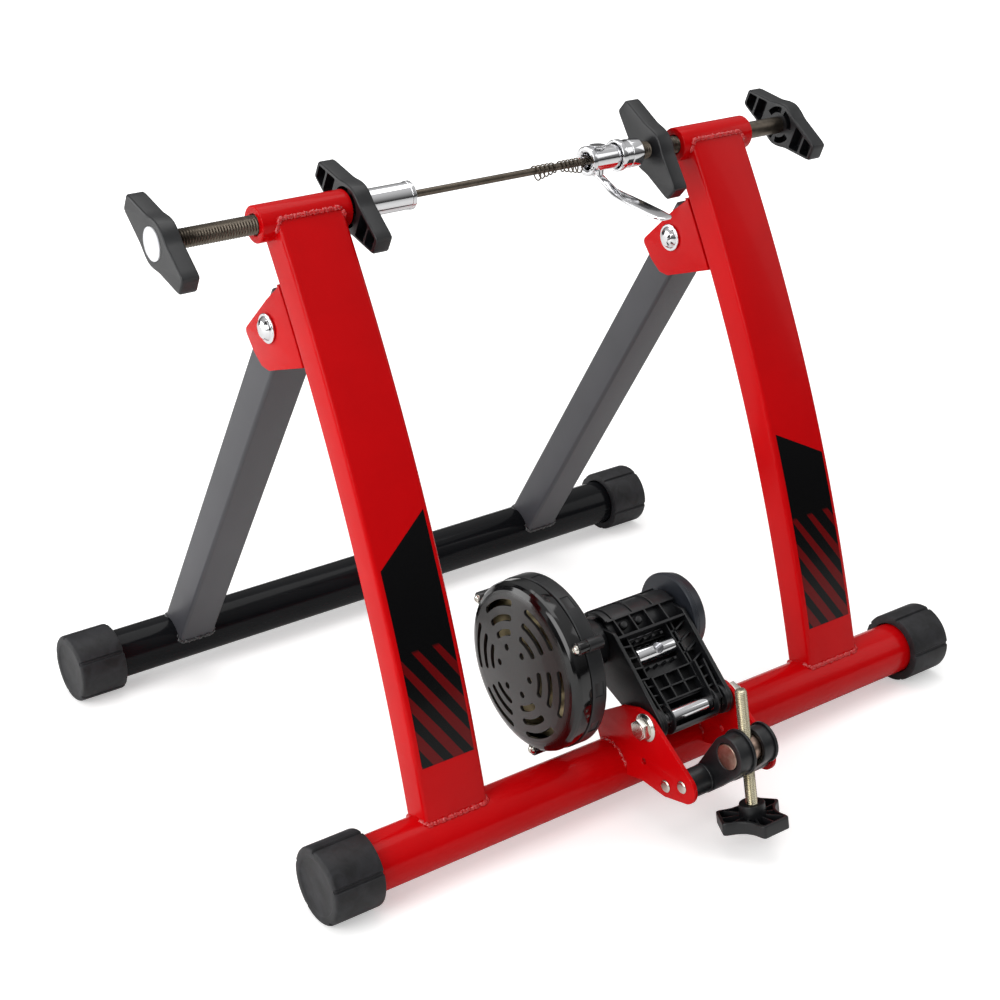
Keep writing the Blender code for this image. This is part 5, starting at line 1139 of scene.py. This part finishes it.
def arm_hood():
    """The panelled hood over the roller, with its ribs and two moulded posts."""
    parts = [hood(*spans) for spans in ((0.0174, 0.0209, 60, 105), (0.0174, 0.0197, 104, 165),
                                        (0.0164, 0.0209, 164, 168), (0.0160, 0.0172, 167, 214))]
    for x in (-0.0240, -0.0060, 0.0120):
        parts.append(hood(0.0170, 0.0209, 104, 165, x - 0.0007, x + 0.0007))
    wall = [(-0.0078, 0.0752), (-0.0104, 0.0612), (-0.0020, 0.0600), (-0.0020, 0.0735)]
    parts += [slab([wall], x - 0.0007, x + 0.0007, 0.0003) for x in (-0.0240, -0.0107, 0.0026, 0.0160)]
    for x in (-0.0178, -0.0050):
        dome = [(0, 0), (0, 0.0030), (0.0034, 0.0030), (0.0044, 0.0022), (0.0048, 0)]
        place = shift(x, -0.0035, 0.0690) @ Matrix.Rotation(-math.pi / 2, 4, "Z")
        parts.append(moved(turned(dome, 32, 0.0004), place))
    return parts


piece("ribbed_arm", joined(*arm_body(), *arm_front(), *arm_hood()), ARM, NYLON, "arm", "nylon",
      "swing_arm")


# Barrel nut: a round chrome bar that lies across the arm's saddle, with a plain-edged
# hole for the adjusting bolt. It tips a little as the bolt pulls.

across = Matrix.Rotation(-math.pi / 2, 4, "Z")
hole = moved(rod(-0.0035, 0.0098, 0.0040, 48, 0), across)
piece("chrome_barrel", carved(rod(-0.0178, 0.0148, 0.0060, 96, 0.0008), hole),
      ARM @ shift(0, *NUT_AT), CHROME, "barrel_nut", "chrome", "barrel_nut")


# Roller, shaft and flywheel: a turned aluminium roller on a plated shaft in two ball
# bearings, and a turned flywheel in blue-black satin on its right end.

def satin_flywheel():
    """Turned steel in blue-black satin: the fine rings of the tool show through a thin
    even coat."""
    material, tree = surface("blue_black_satin_steel", "#25282E", 0.36, 0.25)
    rings = noise(tree, in_mm(tree, (1.0, 0.03, 0.03)), 2.2)
    cloud = noise(tree, in_mm(tree), 0.08, 3.0)
    return finish(material, Base_Color=blend(tree, cloud, "#202329", "#31353D"),
                  Normal=relief(tree, rings, 0.25, 0.0001))


FLYWHEEL = satin_flywheel()
wheel = [
    (0.0332, 0.0043), (0.0332, 0.0292), (0.0342, 0.0300), (0.0362, 0.0300), (0.0364, 0.0296),
    (0.0368, 0.0296), (0.0370, 0.0298), (0.0438, 0.0279), (0.0452, 0.0266), (0.0452, 0.0225),
    (0.0432, 0.0222), (0.0432, 0.0108), (0.0452, 0.0105), (0.0452, 0.0043),
]
piece("turned_flywheel", turned(wheel, 128, 0.0003), ROLLER, FLYWHEEL, "roller", "grey_paint",
      "flywheel")

# Machined aluminium with its turning rings, a pale satin metal.
TURNED_METAL = chromed("turned_bare_metal", "#B9BABD", 0.30, 0.30)
# Zinc passivated yellow on the brake disc, a dull straw colour.
YELLOW_DISC = chromed("yellow_passivated_brake_disc", "#A89B78", 0.30, 0.25)
# Sintered magnets in a nickel skin, a dull blue-grey with pits.
MAGNETS = oiled_steel("sintered_magnet_ring", "#3C5266", 0.48)
for name, material in (
    ("roller", TURNED_METAL), ("roller_shaft", ZINC), ("left_roller_bearing", ZINC),
    ("right_roller_bearing", ZINC), ("brake_disc", YELLOW_DISC), ("magnet_ring", MAGNETS),
):
    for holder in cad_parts[name].material_slots:
        holder.material = material


# Magnet drum: a gloss black cover, slotted for cooling, over a moulded nylon housing
# that the arm carries on a hollow neck. Three cross-head screws in ears join them.

def from_axis(tree, where, middle, scale):
    """How far a place lies from an axis along X."""
    centred = add(tree, "VectorMath", {"operation": "SUBTRACT", 1: tuple(middle)}, {0: where})
    flatten = {"operation": "MULTIPLY", 1: (0, scale, scale)}
    flat = add(tree, "VectorMath", flatten, {0: centred.outputs[0]})
    reach = add(tree, "VectorMath", {"operation": "LENGTH"}, {0: flat.outputs[0]})
    return reach.outputs["Value"]


def drum_plastic():
    """Black ABS from one mould with two finishes: a fine matte grain on the slotted face,
    and a polished rim and band with faint flow waves."""
    material, tree = surface("grained_and_polished_black_abs", "#0A0A0B", 0.13, Coat_Weight=0.2,
                             Coat_Roughness=0.04)
    where = in_mm(tree)
    reach = from_axis(tree, where, 1000 * ROLLER.translation, 1)
    face, rim = 50.5, 54
    rough = ramp(tree, reach, 0.42, 0.10, face, rim)
    tone = ramp(tree, reach, 0, 1, face, rim)
    matte = ramp(tree, reach, 0.5, 0.02, face, rim)
    fine = relief(tree, noise(tree, where, 1.8, 3.0), 1.0, 0.0003, Strength=matte)
    waves = noise(tree, where, 0.12, 1.0)
    return finish(material, Base_Color=blend(tree, tone, "#242221", "#060607"), Roughness=rough,
                  Normal=relief(tree, waves, 0.10, 0.0004, Normal=fine))


GLOSS = drum_plastic()
DRUM_TURN = math.radians(47.56)
EAR_TURNS = [DRUM_TURN + math.radians(27 + 120 * k) for k in range(3)]
EARS = [(0.0625 * math.cos(a), 0.0625 * math.sin(a)) for a in EAR_TURNS]


def slot_outline(radius, start, end, half):
    """A curved slot with round ends."""
    ends = []
    for angle, turn in ((end, 0), (start, math.pi)):
        centre = (radius * math.cos(angle), radius * math.sin(angle))
        ends.append(arc(centre, half, angle + turn, angle + turn + math.pi, 8))
    steps = max(4, round((end - start) / 0.06))
    outer = arc((0, 0), radius + half, start, end, steps)[:-1]
    inner = arc((0, 0), radius - half, end, start, steps)[1:-1]
    return outer + ends[0] + inner + ends[1]


def vents():
    """Cutters for three rings of six slots, and six small holes inside them."""
    half = 0.0022
    outlines = []
    for sector in range(6):
        middle = DRUM_TURN + math.pi / 3 * sector
        for radius, span in ((0.0462, 43), (0.0362, 42), (0.0264, 40)):
            reach = math.radians(span) / 2 - half / radius
            outlines.append(slot_outline(radius, middle - reach, middle + reach, half))
        centre = (0.0165 * math.cos(middle), 0.0165 * math.sin(middle))
        outlines.append(circle(centre, 0.0024, 20))
    return [slab([outline], -0.106, -0.088, 0.0001) for outline in outlines]


cover = [
    (-0.1003, 0), (-0.1001, 0.0120), (-0.0996, 0.0200), (-0.0985, 0.0290), (-0.0974, 0.0380),
    (-0.0961, 0.0462), (-0.0950, 0.0505), (-0.0938, 0.0540), (-0.0925, 0.0566), (-0.0908, 0.0583),
    (-0.0888, 0.0590), (-0.0810, 0.0590), (-0.0810, 0.0565), (-0.0900, 0.0565), (-0.0925, 0.0520),
    (-0.0945, 0.0440), (-0.0965, 0.0300), (-0.0980, 0.0),
]
shell = [carved(turned(cover, 128, 0.0006), *vents())]
shell += [moved(pipe(-0.0885, -0.0810, 0.0045, 0.0019, 40, 0.0005), shift(0, *place))
          for place in EARS]
piece("slotted_cover", joined(*shell), ROLLER, GLOSS, "arm", "gloss_plastic", "drum_cover")

housing = [
    (-0.0807, 0.0597), (-0.0700, 0.0597), (-0.0690, 0.0587), (-0.0690, 0.0250), (-0.0665, 0.0200),
    (-0.0610, 0.0165), (-0.0560, 0.0160), (-0.0323, 0.0160), (-0.0323, 0.0060), (-0.0715, 0.0060),
    (-0.0715, 0.0572), (-0.0807, 0.0572),
]
ear_angles = [math.degrees(turn) for turn in EAR_TURNS]
recesses = []
for angle in range(14, 374, 30):
    if any(abs((angle - ear + 90 + 180) % 360 - 180) < 9 for ear in ear_angles):
        continue
    pad = slab([eased(oblong(-0.0050, 0.0050, 0.0589, 0.0610), 0.0002, True)], -0.0788, -0.0722, 0.0003)
    recesses.append(moved(pad, Matrix.Rotation(math.radians(angle), 4, "X")))
back = [carved(turned(housing, 160, 0.0006), *recesses)]
back += [moved(pipe(-0.0807, -0.0690, 0.0045, 0.0019, 40, 0.0005), shift(0, *place))
         for place in EARS]
piece("drum_back", joined(*back), ROLLER, NYLON, "arm", "nylon", "drum_housing")

profile = [
    (-0.0911, 0), (-0.0911, 0.0014), (-0.0904, 0.0024), (-0.0893, 0.0031), (-0.0888, 0.0032),
    (-0.0888, 0.0016), (-0.0738, 0.0016), (-0.0738, 0),
]
for number, place in enumerate(EARS, 1):
    cross = [slab([oblong(-w, w, -h, h)], -0.0920, -0.0903, 0.0001)
             for w, h in ((0.0004, 0.0017), (0.0017, 0.0004))]
    screw = carved(turned(profile, 40, 0.0002), *cross)
    piece(f"cross_head_screw_{number}", screw, ROLLER @ shift(0, *place), ZINC, "arm", "zinc",
          f"drum_screw_{number}")


# Tension link: a black nylon moulding that swings on the riveted pin and holds the thick
# cross pin in two rimmed bosses.

CROSS_AT = (-0.0208, 0.0254)


def link_side(radius, sleeve=0.010):
    """The web from the sleeve to one boss, round at both ends."""
    heading = math.atan2(CROSS_AT[1], CROSS_AT[0])
    quarter = math.pi / 2 + math.asin((radius - sleeve) / math.hypot(*CROSS_AT))
    boss = arc(CROSS_AT, radius, heading - quarter, heading + quarter, 36)
    return boss + arc((0, 0), sleeve, heading + quarter, heading + 2 * math.pi - quarter, 24)


parts = [pipe(-0.033, 0.033, 0.0096, 0.0045, 72, 0.0006)]
holes = [circle(CROSS_AT, 0.0093, 64), circle((0, 0), 0.0050, 32)]
for low, high, radius, flange, face in ((-0.0170, -0.0052, 0.0140, 0.0155, -0.0050),
                                        (0.0050, 0.0156, 0.0124, 0.0138, 0.0158)):
    parts.append(slab([link_side(radius), *holes], low, high, 0.0008, "X", 3))
    rim = pipe(face - 0.0019, face, flange, 0.0093, 96, 0.0005)
    parts.append(moved(rim, shift(0, *CROSS_AT)))
for middle in (-0.0170, 0.0158):
    parts.append(pipe(middle - 0.002, middle + 0.002, 0.0100, 0.0050, 72, 0.0006))
piece("nylon_link", joined(*parts), LINK, NYLON, "link", "nylon", "tension_link")


# Cross pin and adjusting bolt: a thick turned pin with a copper wash, and through it a
# long M8 bolt in yellowish zinc.

def copper_washed():
    """Steel with a thin copper wash: a pinkish metal whose lathe rings show on its ends,
    1 mm apart."""
    material, tree = surface("copper_washed_steel", "#9C7F70", 0.30, 1.0)
    place = add(tree, "TexCoord").outputs["Object"]
    reach = from_axis(tree, place, CROSS.translation, 1000)
    rings = add(tree, "Math", {"operation": "PINGPONG", 1: 0.45}, {0: reach})
    stain = noise(tree, in_mm(tree), 0.3, 3.0)
    return finish(material, Base_Color=blend(tree, stain, "#8C6F60", "#C9B0A0"),
                  Normal=relief(tree, rings.outputs[0], 0.5, 0.0003))


CROSS = LINK @ shift(0, *CROSS_AT) @ Matrix.Rotation(math.radians(-10.4), 4, "X")
COPPER = copper_washed()
pin = carved(rod(-0.0173, 0.0161, 0.0090, 96, 0.0006), moved(rod(-0.02, 0.02, 0.0043, 48, 0), upright))
piece("steel_cross_pin", pin, CROSS, COPPER, "cross_pin", "copper_steel", "cross_pin")

YELLOW_ZINC = chromed("yellow_zinc_plate", "#D3CBB2", 0.25, 0.2)
bolt = threaded(-0.0504, 0.0418, 0.0040, 0.00125, 0.0006, 0.0016, 6, 36)
piece("m8_bolt", moved(bolt, upright), CROSS, YELLOW_ZINC, "adjusting_bolt", "zinc", "adjusting_bolt")


# Adjuster knob: a three-lobed nylon knob moulded round the bolt's foot, hollow above,
# with thin ribs from its hub to its rim.

def lobed(angle, inset=0.0):
    """How far the knob reaches this way from its middle, less an inset."""
    lobe = 2 * math.pi / 3
    away = abs((angle + lobe / 2 - math.radians(30)) % lobe - lobe / 2)
    side = (0.0116 - inset) / max(0.05, math.sin(away))
    tip = (0.0228 - inset) / math.cos(away)
    return soft_most(-soft_most(-side, -tip, 0.005), 0.0152 - inset, 0.005)


grip = slab([polar(lobed, 180)], -0.0537, -0.0448, 0.0010, "Z", 4)
hollow = slab([polar(lambda angle: lobed(angle, 0.0019), 180)], -0.0507, -0.0420, 0.0002, "Z")
hub = turned([(-0.0522, 0.0043), (-0.0522, 0.0092), (-0.0377, 0.0086), (-0.0377, 0.0043)], 72, 0.0007)
walls = []
for angle in (math.radians(30 + 30 * k) for k in range(12)):
    wall = slab([oblong(0.0080, lobed(angle) - 0.0010, -0.0006, 0.0006)], -0.0515, -0.0456, 0.0001, "Z")
    walls.append(moved(wall, Matrix.Rotation(angle, 4, "Z")))
piece("lobed_knob", joined(carved(grip, hollow), moved(hub, upright), *walls), CROSS, NYLON,
      "adjuster_knob", "nylon", "adjuster_knob")


# The view layer is brought up to date at the end.

bpy.context.view_layer.update()
